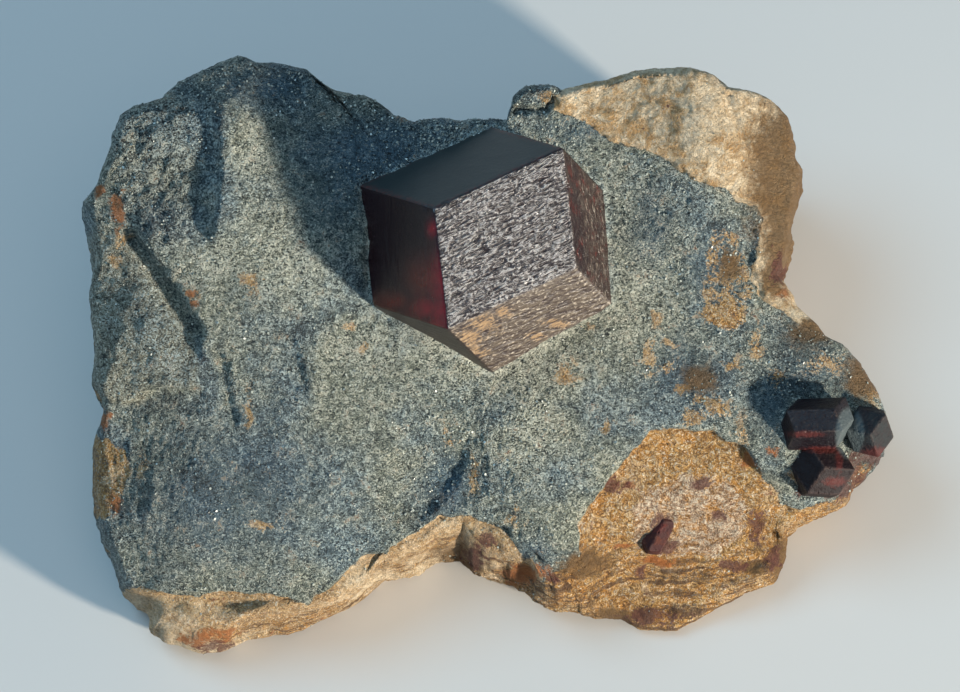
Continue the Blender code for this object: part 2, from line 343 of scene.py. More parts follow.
# the lump of schist
rock = {
    # outline of the lump on its face, clockwise from the upper left: across, up, how far the rounded
    # rim lies inside it, and how far below the rim the lump is widest
    "outline": (
        (-33.0, 25.4, 0.9, 2.0), (-31.2, 27.2, 0.9, 2.0), (-29.6, 28.1, 0.9, 2.0),
        (-27.6, 29.1, 0.9, 2.0), (-25.3, 29.8, 0.9, 2.0), (-23.8, 29.0, 0.8, 2.0),
        (-21.0, 28.9, 0.8, 2.0), (-18.3, 28.5, 0.8, 2.0), (-17.0, 27.2, 0.8, 2.0),
        (-15.6, 26.4, 0.8, 2.0), (-13.2, 26.1, 0.7, 1.6), (-11.5, 25.4, 0.7, 1.6),
        (-9.8, 24.0, 0.7, 1.4), (-7.8, 23.3, 0.7, 1.4), (-3.0, 23.4, 0.6, 1.3), (1.6, 23.5, 0.6, 1.3),
        (2.3, 25.6, 0.8, 1.6), (3.6, 26.8, 0.8, 1.8), (6.1, 27.0, 0.8, 1.8), (7.2, 26.5, 0.8, 1.8),
        (9.3, 27.0, 0.9, 2.0), (12.0, 27.6, 0.9, 2.2), (14.6, 28.4, 0.9, 2.2), (16.7, 28.6, 0.9, 2.2),
        (20.1, 28.5, 0.9, 2.2), (22.4, 27.8, 0.9, 2.2), (24.0, 26.7, 0.9, 2.2), (26.2, 26.5, 0.9, 2.2),
        (28.6, 25.7, 0.9, 2.4), (30.2, 23.8, 0.9, 2.4), (30.8, 21.6, 0.9, 2.4), (30.8, 20.4, 0.9, 2.4),
        (31.6, 18.9, 0.9, 2.4), (31.7, 17.3, 0.9, 2.4), (31.2, 15.5, 0.9, 2.4), (30.4, 13.1, 0.9, 2.2),
        (30.1, 9.9, 0.9, 2.2), (29.0, 7.7, 0.8, 2.0), (30.8, 5.8, 0.8, 2.0), (31.0, 4.9, 0.8, 2.0),
        (33.1, 2.9, 0.9, 2.0), (34.0, 1.5, 0.9, 2.0), (35.3, 1.1, 0.9, 2.0), (37.2, -1.0, 0.9, 2.0),
        (39.1, -4.4, 0.9, 2.0), (40.3, -7.0, 1.0, 2.4), (40.4, -8.6, 1.1, 2.6), (39.0, -10.3, 1.3, 2.8),
        (36.9, -12.0, 1.5, 3.0), (36.6, -13.2, 1.5, 3.0), (36.0, -14.6, 1.6, 3.0),
        (34.0, -15.8, 1.8, 3.0), (31.8, -16.7, 1.8, 3.2), (30.1, -18.4, 1.4, 2.6),
        (30.0, -20.2, 1.3, 2.4), (28.6, -22.8, 1.4, 2.2), (25.9, -23.9, 1.6, 2.0),
        (22.1, -26.3, 1.8, 1.8), (19.0, -28.0, 2.2, 1.6), (15.3, -28.0, 2.2, 1.6),
        (13.3, -26.8, 2.0, 2.0), (10.8, -26.7, 2.4, 3.0), (8.7, -25.6, 2.8, 4.0),
        (4.6, -24.2, 3.6, 6.0), (3.8, -23.0, 3.8, 6.8), (0.9, -22.3, 4.0, 7.5), (-1.6, -21.5, 4.0, 8.0),
        (-3.0, -20.1, 4.0, 8.5), (-5.6, -20.5, 3.8, 8.0), (-7.5, -21.6, 3.4, 7.0),
        (-11.1, -22.0, 2.6, 6.0), (-13.2, -24.4, 3.0, 6.0), (-15.4, -25.8, 3.2, 6.0),
        (-19.6, -27.6, 3.6, 6.2), (-24.9, -28.6, 4.6, 6.2), (-27.4, -29.6, 5.4, 6.2),
        (-29.4, -29.8, 5.6, 6.2), (-32.4, -29.1, 5.2, 6.0), (-34.1, -28.1, 4.0, 5.4),
        (-34.6, -26.4, 3.0, 5.0), (-37.2, -24.6, 1.6, 4.0), (-38.0, -21.2, 1.2, 3.4),
        (-39.4, -17.3, 1.3, 3.2), (-40.2, -13.6, 2.2, 3.6), (-40.0, -9.8, 1.8, 3.4),
        (-38.9, -6.5, 1.0, 3.0), (-38.8, -4.9, 1.0, 3.0), (-39.7, -3.2, 1.0, 2.4),
        (-39.6, 0.0, 1.0, 2.4), (-40.2, 3.4, 1.0, 2.2), (-40.2, 6.6, 1.0, 2.2), (-39.7, 9.2, 1.0, 2.0),
        (-40.0, 12.1, 1.0, 2.0), (-40.7, 15.2, 0.9, 2.0), (-39.5, 16.8, 0.9, 2.0),
        (-38.4, 19.5, 0.9, 2.0), (-37.1, 23.6, 0.9, 2.0), (-35.8, 24.6, 0.9, 2.0),
    ),
    # spot heights on the face, as on a map: across, up, out
    "heights": (
        # round the foot of the large crystal
        (-13.0, 17.5, 0.6), (-11.8, 5.0, 0.9), (-5.0, 1.6, 1.2), (-0.5, -1.6, 0.4), (6.0, 2.4, 0.0),
        (12.8, 5.0, -0.6), (13.0, 11.0, -1.6), (12.0, 16.5, -2.5), (7.0, 21.8, -2.3), (0.0, 23.2, -1.6),
        (-7.0, 21.0, -0.5), (0.0, 11.0, 0.0),
        # upper left: a high shoulder with a steep back and a groove down its front
        (-16.0, 20.0, 0.3), (-18.0, 11.0, 3.3), (-20.0, 24.0, -0.2),
        (-22.5, 15.0, 3.9), (-24.6, 24.6, 1.5),
        (-26.8, 23.5, 2.9), (-26.6, 14.0, 4.3), (-28.4, 19.0, 2.9),
        (-30.2, 23.0, 2.8), (-31.0, 15.0, 3.6),
        (-34.0, 19.5, 3.1), (-36.5, 22.5, 2.4), (-38.2, 17.0, 2.5),
        (-25.5, 28.8, -1.2), (-20.0, 28.0, -1.4),
        (-15.0, 25.4, -1.0), (-10.0, 23.6, -1.4), (-31.0, 26.2, 1.2),
        # left: the gentle slope from the shoulder down to a low step
        (-24.0, 8.0, 3.7), (-17.0, 5.0, 2.6), (-30.5, 7.0, 2.6), (-35.5, 9.0, 2.2), (-39.0, 8.0, 0.5),
        (-34.0, 1.0, 1.9), (-38.8, 1.0, 0.3), (-33.0, -3.0, 1.5), (-35.0, -6.5, 0.3), (-26.0, -1.0, 2.3),
        (-25.0, -8.0, 1.3), (-15.0, -3.0, 2.2), (-8.0, -4.0, 1.6),
        # lower left: a broad low swelling
        (-30.0, -15.0, 0.7), (-21.0, -15.0, 1.5), (-14.0, -15.0, 1.2),
        (-30.0, -22.0, -1.2), (-21.0, -22.0, -0.3),
        (-37.0, -11.0, -0.8), (-37.5, -18.0, -2.4), (-34.0, -23.0, -2.9), (-27.0, -25.0, -2.6),
        (-17.0, -22.5, -1.0), (-11.0, -19.5, -0.8), (-9.0, -11.0, 0.8),
        # below the large crystal: a rounded ridge with a crease on its left
        (-4.6, -13.0, -0.3), (-2.4, -9.0, 0.3), (1.0, -8.0, 0.7), (4.0, -14.0, 0.5), (6.5, -19.5, -0.6),
        (-2.0, -16.0, -0.8), (9.0, -9.0, 0.2),
        # right: smooth ground that falls gently away
        (14.0, 0.0, -0.7), (17.5, 8.0, -1.8), (22.0, 13.0, -2.0), (19.0, 18.0, -2.3), (17.0, -4.5, -0.6),
        (22.0, 0.0, -1.5), (25.5, 6.0, -2.6),
        # upper right: the broken, weathered shoulder
        (4.5, 25.6, -1.6), (11.0, 25.5, -2.6), (17.0, 26.0, -2.2), (21.5, 22.5, -1.6), (25.0, 19.0, -2.4),
        (28.5, 22.5, -4.4), (30.0, 16.0, -5.4), (28.5, 9.0, -4.6),
        # far right: the low lobe that holds the small crystals
        (28.0, 1.5, -2.8), (33.0, -0.5, -2.6), (36.5, -3.0, -3.6),
        (27.0, -5.0, -1.6), (27.5, -10.5, -1.9),
        (31.5, -10.0, -2.2), (35.5, -8.0, -2.6), (39.2, -8.0, -4.6), (33.0, -14.0, -4.6),
        # lower right: the corner broken off, sloping down from a lip
        (13.0, -9.0, -0.4), (18.5, -6.6, -0.8), (24.5, -8.4, -1.4),
        (15.5, -11.5, -1.7), (21.0, -10.0, -1.9),
        (11.5, -16.5, -2.0), (8.8, -21.5, -3.0), (20.0, -15.5, -3.6),
        (26.5, -14.5, -3.8), (15.0, -20.5, -5.6),
        (22.5, -20.5, -6.6), (28.0, -19.0, -7.2), (17.0, -25.0, -9.0), (11.0, -23.8, -6.8),
    ),
    "spotRounding": 2.5,
    "centre": (1.0, 8.0),            # the face's middle, under the large crystal
    "columns": 300, "rows": 216,     # cells of the face's own grid
    "wallSteps": (5, 15, 5),         # rings from rim to widest, to belly, and on to the foot
    "baseRings": 7,
    "bellySize": 0.985, "bellyHeight": 0.45, "footSize": 0.87,
    "dish": (9.0, 0.55),             # broken facets: distance between them and depth
    "dishWarp": (5.0, 1.2),          # how they are pulled out of round: wavelength and reach
    "swell": (6.5, 0.55),            # soft unevenness: wavelength and height
    "roughness": (2.1, 0.40),        # coarse grain of the break
    "crumple": (0.95, 0.30),         # fine crumpled mica
    "layer": (0.9, 0.36),            # bedding that shows on the sides: thickness and relief
    "bedWaves": ((9.0, 0.9), (2.2, 0.7)),      # its long and short waves: wavelength, height in layers
    "flatBase": 2.5,                 # the relief dies out below this height
    "ledgeProbe": 0.4,               # how far ahead and behind a ledge's direction is taken
    "wander": (1.9, 0.55),           # unevenness of the edges of stains: wavelength and reach
    "lip": 0.12, "lipReach": 0.045,  # low lip against the large crystal
    "gap": 0.55,                     # and the furrow along its left side
}

# cracks, grooves and seams on the face: line, width, depth, and where the depth is greatest
cracks = (
    {
        "line": ((-36.9, 12.4), (-35.2, 10.4), (-33.4, 8.3), (-31.4, 5.6), (-29.6, 2.6), (-28.7, 0.6)),
        "width": 0.75, "depth": 1.5,
    },
    {
        "line": ((-27.7, 1.4), (-26.6, -1.2), (-26.0, -4.4), (-25.2, -8.0)),
        "width": 0.35, "depth": 0.45,
    },
    {
        "line": ((-28.6, 24.6), (-28.4, 21.5), (-28.9, 17.6), (-28.2, 13.6), (-28.6, 10.8)),
        "width": 0.9, "depth": 0.25,
    },
    {
        "line": ((-2.3, -9.2), (-3.2, -11.4), (-4.8, -13.8), (-6.6, -15.8), (-8.6, -17.4)),
        "width": 0.6, "depth": 0.4,
    },
    {
        "line": ((23.8, 26.8), (24.2, 24.6), (25.2, 22.6), (26.0, 20.8)),
        "width": 0.3, "depth": 0.5,
    },
    {
        "line": ((6.9, 26.8), (6.6, 25.4), (5.6, 24.5), (3.2, 24.4), (1.8, 24.2)),
        "width": 0.4, "depth": 0.8,
    },
    {
        "line": ((27.6, -11.6), (28.4, -13.2), (29.6, -14.8), (30.2, -16.4)),
        "width": 0.3, "depth": 0.6,
    },
    {
        "line": ((28.2, -18.2), (29.6, -18.0), (31.0, -17.0)),
        "width": 0.3, "depth": 0.7,
    },
    {
        "line": ((2.6, -19.2), (4.2, -20.3), (5.6, -21.8), (8.2, -22.4), (9.8, -24.6)),
        "width": 0.35, "depth": 0.6,
    },
    {
        "line": ((-17.2, 4.6), (-16.2, 3.4), (-15.6, 2.2)),
        "width": 0.25, "depth": 0.4,
    },
    {
        "line": ((-5.8, -16.4), (-3.0, -16.2), (0.2, -17.0), (2.6, -18.6)),
        "width": 0.3, "depth": 0.5,
    },
)

# low ledges: the ground left of each line, seen along it, stands higher by the height; the step
# is as wide as the width and dies away over the reach
ledges = (
    {
        "line": ((-28.2, 10.8), (-27.2, 15.0), (-26.9, 19.3), (-27.3, 24.4)),
        "height": -0.9, "width": 1.0, "reach": 3.0,
    },
    {
        "line": ((-36.6, 12.0), (-34.2, 9.0), (-31.6, 5.2), (-29.0, 0.8), (-28.0, -1.6)),
        "height": 0.9, "width": 0.7, "reach": 3.0,
    },
    {
        "line": ((-41.0, -4.8), (-36.8, -5.0), (-33.0, -3.4), (-30.0, -3.6), (-28.0, -3.0)),
        "height": 0.9, "width": 0.9, "reach": 3.5,
    },
    {
        "line": (
            (7.0, 25.0), (9.4, 23.2), (12.8, 21.2), (17.4, 19.8), (21.0, 17.4), (24.8, 15.2),
            (27.0, 12.6), (26.4, 9.0), (27.6, 5.2), (31.2, 3.0), (35.0, 1.2),
        ),
        "height": 0.5, "width": 0.35, "reach": 2.5,
    },
    {
        "line": (
            (9.0, -17.2), (11.1, -13.9), (13.6, -10.4), (16.2, -7.7), (18.5, -7.4), (21.8, -7.8),
            (24.6, -9.0), (27.2, -11.6), (29.0, -14.6),
        ),
        "height": 1.1, "width": 0.5, "reach": 3.5,
    },
    {
        "line": ((-20.0, 1.8), (-18.4, -1.0), (-18.0, -5.0)),
        "height": 0.3, "width": 0.7, "reach": 3.0,
    },
    {
        "line": ((-2.0, -8.6), (-3.4, -11.6), (-5.4, -14.4), (-8.4, -16.6)),
        "height": 0.3, "width": 1.2, "reach": 3.0,
    },
    {
        "line": (
            (-37.0, -24.4), (-32.0, -24.2), (-27.4, -23.7), (-21.0, -24.3), (-18.2, -24.8),
            (-13.0, -20.7), (-8.8, -18.8), (-5.2, -16.3), (0.2, -17.0), (2.4, -18.6),
        ),
        "height": 0.7, "width": 0.5, "reach": 2.5,
    },
)

# stained and paler ground, each an outline on the face
grounds = {
    "tan": (
        (7.4, 31.0), (7.0, 26.0), (6.6, 24.4), (9.4, 23.2), (11.2, 22.0), (12.8, 21.2), (15.4, 20.5),
        (17.4, 19.8), (18.8, 18.4), (21.0, 17.4), (23.4, 16.8), (24.8, 15.2), (26.6, 15.0),
        (27.2, 12.6), (26.6, 10.0), (26.2, 6.8), (27.6, 5.2), (29.4, 4.2), (31.2, 3.0), (34.4, 1.6),
        (38.0, 3.0), (38.0, 31.0),
    ),
    "mound": (
        (16.2, -7.7), (18.5, -7.4), (21.8, -7.8), (24.6, -9.0), (27.2, -11.6), (28.6, -14.0),
        (29.6, -15.6), (32.4, -15.4), (36.0, -14.2), (40.0, -16.0), (34.0, -34.0), (5.0, -34.0),
        (5.4, -22.6), (7.6, -21.3), (9.1, -20.2), (8.7, -17.2), (11.1, -13.9), (13.6, -10.4),
    ),
    "underside": (
        (-38.4, -24.4), (-35.0, -23.5), (-32.0, -24.2), (-29.4, -24.6), (-27.4, -23.7), (-24.6, -24.3),
        (-21.0, -24.3), (-18.2, -24.8), (-15.6, -23.0), (-13.0, -20.7), (-10.6, -19.9), (-8.8, -18.8),
        (-7.0, -17.3), (-5.2, -16.3), (-2.0, -16.2), (0.2, -17.0), (2.4, -18.6), (3.4, -20.4),
        (5.6, -22.4), (5.6, -40.0), (-44.0, -40.0),
    ),
    "leftEdge": (
        (-43.0, -6.6), (-38.2, -8.4), (-36.4, -9.6), (-35.8, -12.0), (-37.2, -14.6), (-38.8, -16.6),
        (-43.0, -16.0),
    ),
    "warmGrey": (
        (-44.0, 12.2), (-38.4, 12.2), (-36.0, 10.4), (-32.6, 7.0), (-30.2, 3.4), (-29.2, 0.0),
        (-29.2, -3.6), (-31.4, -3.2), (-33.6, -3.0), (-35.2, -5.0), (-37.2, -5.2), (-44.0, -4.6),
    ),
    "freckled": (
        (22.2, 12.9), (24.8, 12.2), (25.8, 9.6), (26.3, 6.4), (25.6, 3.2), (23.8, 2.0), (22.0, 3.4),
        (21.4, 6.0), (21.7, 9.6),
    ),
    "heart": (
        (15.3, -13.6), (17.6, -12.9), (20.1, -12.2), (24.5, -12.7), (25.9, -15.9), (25.3, -18.6),
        (22.7, -20.4), (17.0, -20.4), (14.6, -19.2), (14.4, -16.4),
    ),
    "silvery": (
        (-38.0, 23.0), (-33.0, 25.4), (-29.8, 24.6), (-29.4, 20.0), (-29.6, 14.0), (-30.8, 10.6),
        (-34.6, 11.2), (-36.6, 14.0), (-37.8, 18.0),
    ),
}

# smaller stains, paler ground, and darker, browner or bluer spots, partly painted shade: across, up, reach
# across, reach up
stains = {
    "rust": (
        (-37.1, 14.4, 0.9, 2.6), (-39.0, 16.2, 0.7, 0.9), (-29.6, 6.0, 0.7, 0.5),
        (-29.4, 5.0, 0.6, 0.4), (-38.6, -6.6, 0.6, 1.2), (13.4, -19.4, 1.2, 0.3),
        (-29.0, -28.4, 3.0, 0.8), (5.0, -21.8, 1.4, 0.8), (3.0, -22.3, 1.8, 0.9),
        (28.4, -9.6, 0.9, 0.8), (17.0, -20.9, 2.6, 0.5), (26.0, -11.0, 1.2, 0.8),
        (33.0, -12.8, 0.9, 0.5), (-37.6, -14.8, 0.9, 1.2), (29.4, 6.2, 1.2, 1.0),
    ),
    "wine": (
        (12.3, -13.4, 1.0, 0.8), (-0.3, -18.6, 1.0, 1.1), (26.8, -17.4, 1.1, 1.7),
        (21.3, -13.1, 1.2, 0.7), (15.2, -22.2, 0.9, 0.9), (17.2, -17.6, 1.1, 1.7),
        (17.6, -19.6, 1.6, 0.7), (36.6, -12.4, 2.2, 1.0), (38.6, -10.6, 1.6, 1.0),
        (34.2, -13.9, 1.8, 0.7), (22.9, -16.2, 0.9, 0.8), (-27.6, -29.2, 2.2, 0.7),
        (16.6, -26.6, 3.0, 1.0), (24.6, -21.4, 1.6, 0.7), (-1.6, -20.4, 1.4, 1.2),
        (6.4, -22.6, 1.0, 0.7), (28.6, -20.6, 1.2, 1.4), (29.0, 8.4, 0.9, 1.6), (36.6, -11.0, 1.9, 1.5),
        (35.6, -13.4, 1.8, 1.1), (31.4, -13.6, 0.9, 0.9),
    ),
    "ochre": (
        (-23.8, 7.2, 1.3, 1.1), (-29.2, 5.8, 0.9, 0.7), (-37.0, 11.0, 0.8, 1.6), (-37.6, 9.4, 0.9, 0.9),
        (15.9, -0.2, 1.0, 2.2), (19.6, -3.4, 1.5, 0.7), (22.8, -5.4, 1.3, 1.9), (20.4, -6.2, 1.6, 0.9),
        (7.6, -2.2, 1.3, 1.5), (-1.6, -12.0, 0.6, 2.4), (-3.9, -8.6, 0.9, 1.2), (2.6, -16.2, 1.3, 1.3),
        (25.4, -8.0, 1.0, 1.6), (33.6, -0.8, 2.6, 0.9), (26.6, 0.6, 1.0, 1.8), (-34.6, -11.0, 1.0, 1.3),
        (-22.6, -17.2, 1.6, 0.6), (-24.0, -6.0, 0.5, 2.4), (30.6, -12.4, 0.9, 1.1),
        (38.4, -3.8, 1.0, 1.4), (-1.6, 2.4, 0.6, 0.6), (23.2, 3.6, 1.8, 1.2), (11.6, -7.4, 0.7, 0.7),
        (18.0, 1.0, 0.7, 0.6), (5.6, 25.7, 1.6, 0.9), (17.6, -1.6, 0.9, 0.9), (21.0, -4.6, 1.4, 1.0),
        (16.6, 3.6, 0.8, 1.0), (-14.0, 2.6, 0.7, 0.6), (-12.4, 0.6, 0.6, 0.6), (28.8, -2.4, 0.9, 1.3),
        (24.2, -1.2, 1.1, 1.0), (9.6, 2.6, 1.6, 0.5), (30.4, -12.2, 1.0, 1.1), (-38.6, -12.6, 0.7, 1.6),
    ),
    "pale": (
        (3.0, -2.0, 7.5, 2.6), (-10.0, 1.0, 6.0, 2.6), (13.8, 10.0, 1.8, 6.0), (20.4, -16.6, 3.2, 3.0),
        (-24.0, 19.0, 2.4, 6.0), (-20.0, 9.0, 5.0, 4.0), (21.0, 22.0, 4.0, 3.0),
        (-21.0, 12.5, 1.6, 3.0), (-14.5, -24.2, 3.0, 1.2), (10.0, -18.0, 1.0, 2.6),
        (4.0, -8.0, 3.0, 4.0), (-27.0, 9.0, 5.0, 2.0), (15.8, 8.0, 3.2, 7.0),
    ),
    # darker spots, painted shade: in creases, along ledges and on the low lobe by the small crystals
    "darkAndPaintedShade": (
        (-5.4, -14.6, 1.2, 1.8), (-28.6, -13.0, 2.0, 1.6), (-32.4, -5.0, 2.6, 1.2),
        (-17.5, -23.8, 1.6, 0.9), (20.6, -1.6, 2.6, 1.6), (22.6, 13.0, 1.6, 1.0), (31.0, 0.6, 4.0, 2.0),
        (-8.0, -16.4, 1.8, 1.2), (31.5, -2.8, 4.6, 1.8), (-20.0, 2.2, 2.6, 0.9), (3.6, 26.2, 2.0, 0.6),
        (2.6, 24.9, 0.7, 0.7), (28.4, -17.8, 0.6, 0.5),
    ),
    # brown stain, and painted shade along the right edge of the stained shoulder
    "umberAndPaintedShade": (
        (30.6, 15.0, 2.2, 6.0), (30.0, 22.0, 1.6, 2.6), (28.4, 8.0, 1.4, 2.2), (32.4, 2.4, 2.6, 1.2),
        (37.4, -2.4, 1.6, 2.2), (9.6, -21.2, 2.6, 1.2), (29.4, -20.6, 1.0, 2.6),
        (13.0, -26.4, 2.6, 0.7), (-3.0, -20.6, 2.6, 1.6), (24.0, 9.0, 1.0, 1.6), (20.8, -2.6, 1.6, 1.4),
        (26.4, -21.6, 1.2, 0.6), (29.2, 17.5, 3.0, 8.0), (29.4, 11.0, 2.0, 4.0), (30.0, 22.0, 2.4, 3.0),
    ),
    # the stone's own blue, and painted shadow left of the large crystal and beside the small ones
    "blueAndPaintedShadow": (
        (32.5, -1.6, 5.0, 2.6), (28.0, -5.0, 1.6, 4.0), (-12.0, 20.0, 8.0, 5.0),
        (-22.0, 27.0, 7.0, 2.4), (-15.5, 17.0, 4.0, 6.0), (16.0, 12.0, 2.6, 4.0),
        (19.0, -1.0, 3.0, 3.0), (-27.0, -14.0, 9.0, 6.0), (-4.0, -13.5, 2.6, 3.0),
        (22.0, 8.0, 2.6, 4.0), (4.0, -20.0, 2.6, 1.6), (-33.0, 13.6, 2.4, 2.2), (10.0, 22.6, 5.0, 1.4),
    ),
}


def spotKernel(across, up, places):
    # sqrt(distance^2 + rounding^2) from every point to every spot
    apart = (across[..., None] - places[:, 0]) ** 2 + (up[..., None] - places[:, 1]) ** 2
    return np.sqrt(apart + rock["spotRounding"] ** 2)


spotPlaces = np.array(rock["heights"])
spotWeights = np.linalg.solve(spotKernel(spotPlaces[:, 0], spotPlaces[:, 1], spotPlaces), spotPlaces[:, 2])


def faceHeight(across, up):
    # the smooth sheet that passes through every spot height
    return spotKernel(across, up, spotPlaces) @ spotWeights


def outlineAt(turns):
    # the outline's radius, rim inset and drop in each direction from the face's middle
    rows = np.array(rock["outline"])
    offset = rows[:, :2] - rock["centre"]
    angles = np.arctan2(offset[:, 1], offset[:, 0])
    order = np.argsort(angles)
    columns = (np.hypot(offset[:, 0], offset[:, 1]), rows[:, 2], rows[:, 3])
    return [np.interp(turns, angles[order], column[order], period=2.0 * math.pi) for column in columns]


def plainRock():
    # The face is a square grid bent to a disc, x = p sqrt(1 - q^2 / 2) and the same for y, then stretched
    # to the rim. Its edge carries on as rings: over the rim, down the wall, and in under the flat base.
    columns, rows = rock["columns"], rock["rows"]
    q, p = np.meshgrid(np.linspace(-1, 1, rows + 1), np.linspace(-1, 1, columns + 1), indexing="ij")
    x, y = p * np.sqrt(1.0 - q**2 / 2.0), q * np.sqrt(1.0 - p**2 / 2.0)
    radius, inset, _ = outlineAt(np.arctan2(y, x))
    across = rock["centre"][0] + x * (radius - inset)
    up = rock["centre"][1] + y * (radius - inset)
    face = fromFace(across, up, faceHeight(across, up)).reshape(-1, 3)

    index = np.arange((rows + 1) * (columns + 1)).reshape(rows + 1, columns + 1)
    edge = np.concatenate([index[0, :-1], index[:-1, -1], index[-1, :0:-1], index[:0:-1, 0]])
    rim = face[edge]
    turns = np.arctan2(y.ravel()[edge], x.ravel()[edge])
    radius, inset, drop = outlineAt(turns)
    wideAcross = rock["centre"][0] + radius * np.cos(turns)
    wideUp = rock["centre"][1] + radius * np.sin(turns)
    wideHeight = np.maximum(rim[:, 2] - drop, 1.0)
    widest = fromFace(wideAcross, wideUp, outAtHeight(wideUp, wideHeight))
    middle = widest.mean(axis=0)

    def level(size, heights):
        # the widest ring drawn in toward its middle, at other heights
        ring = middle + (widest - middle) * size
        ring[:, 2] = heights
        return ring

    belly = level(rock["bellySize"], wideHeight * rock["bellyHeight"])
    foot = level(rock["footSize"], 0.0)
    toWidest, toBelly, toFoot = rock["wallSteps"]
    rings = []
    for n in range(1, toWidest + 1):      # a quarter turn over the rim
        turn = 0.5 * math.pi * n / toWidest
        outward = math.sin(turn)
        rings.append(rim + (widest - rim) * np.array([outward, outward, 1.0 - math.cos(turn)]))
    rings += [widest + (belly - widest) * n / toBelly for n in range(1, toBelly + 1)]
    for n in range(1, toFoot + 1):        # and a quarter turn in under the belly
        turn = 0.5 * math.pi * n / toFoot
        inward = 1.0 - math.cos(turn)
        rings.append(belly + (foot - belly) * np.array([inward, inward, math.sin(turn)]))
    for n in range(1, rock["baseRings"]):
        rings.append(level(rock["footSize"] * (1.0 - n / rock["baseRings"]), 0.0))
    wall = np.concatenate(rings)
    points = np.concatenate([face, wall, [[middle[0], middle[1], 0.0]]])

    count = len(edge)
    ringIndex = np.concatenate([[edge], len(face) + np.arange(len(wall)).reshape(-1, count)])
    ringIndex = np.concatenate([ringIndex, ringIndex[:, :1]], axis=1)
    upper, lower = ringIndex[:-1], ringIndex[1:]
    wallQuads = np.stack([upper[:, :-1], lower[:, :-1], lower[:, 1:], upper[:, 1:]], axis=-1)
    last = ringIndex[-1]
    pole = np.full(count // 2, len(points) - 1)
    cap = np.stack([last[0:-2:2], pole, last[2::2], last[1:-1:2]], axis=-1)
    quads = np.concatenate([gridFaces(rows + 1, columns + 1), wallQuads.reshape(-1, 4), cap])
    onFace = np.concatenate([np.ones(len(face)), np.zeros(len(wall) + 1)])
    drops = rim[:, 2] - wall.reshape(-1, count, 3)[..., 2]
    below = np.concatenate([np.zeros(len(face)), drops.ravel(), rim[:1, 2]])
    return points, quads, onFace, below


def crackDepth(across, up):
    # each crack is a groove of depth exp(-(distance / width)^2), fading at its ends
    total = np.zeros(across.shape)
    for crack in cracks:
        distance, along = lineDistance(across, up, crack["line"])
        fade = smoothStep(0.0, 0.12, along) * (1.0 - smoothStep(0.85, 1.0, along))
        total = np.maximum(total, crack["depth"] * fade * np.exp(-((distance / crack["width"]) ** 2)))
    return total


def ledgeHeight(across, up):
    # each ledge is a smooth step of the signed distance to its line, times exp(-(distance / reach)^2)
    total = np.zeros(across.shape)
    for ledge in ledges:
        line = np.array(ledge["line"])
        distance, along = lineDistance(across, up, line)
        marks = np.concatenate([[0.0], np.cumsum(np.hypot(*np.diff(line, axis=0).T))])

        def pointAt(reach):
            # the point of the line this far along it
            return np.interp(reach, marks, line[:, 0]), np.interp(reach, marks, line[:, 1])

        spot = along * marks[-1]
        nearX, nearY = pointAt(spot)
        aheadX, aheadY = pointAt(spot + rock["ledgeProbe"])
        behindX, behindY = pointAt(spot - rock["ledgeProbe"])
        side = np.sign((aheadX - behindX) * (up - nearY) - (aheadY - behindY) * (across - nearX))
        step = smoothStep(-0.5 * ledge["width"], 0.5 * ledge["width"], distance * side) - 0.5
        fade = smoothStep(0.0, 0.15, along) * (1.0 - smoothStep(0.85, 1.0, along))
        total += ledge["height"] * step * fade * np.exp(-((distance / ledge["reach"]) ** 2))
    return total


def groundMasks(points):
    # how much of each ground and stain there is at each point, with a wandering edge
    place = toFace(points)
    size, reach = rock["wander"]
    across = place[..., 0] + reach * layeredNoise(points / size, 31, 3)
    up = place[..., 1] + reach * layeredNoise(points / size, 47, 3)
    masks = {}
    for name, line in grounds.items():
        masks[name] = smoothStep(-0.35, 0.35, insideDistance(across, up, line))
    masks.update({name: spots(across, up, places) for name, places in stains.items()})
    return masks, across, up


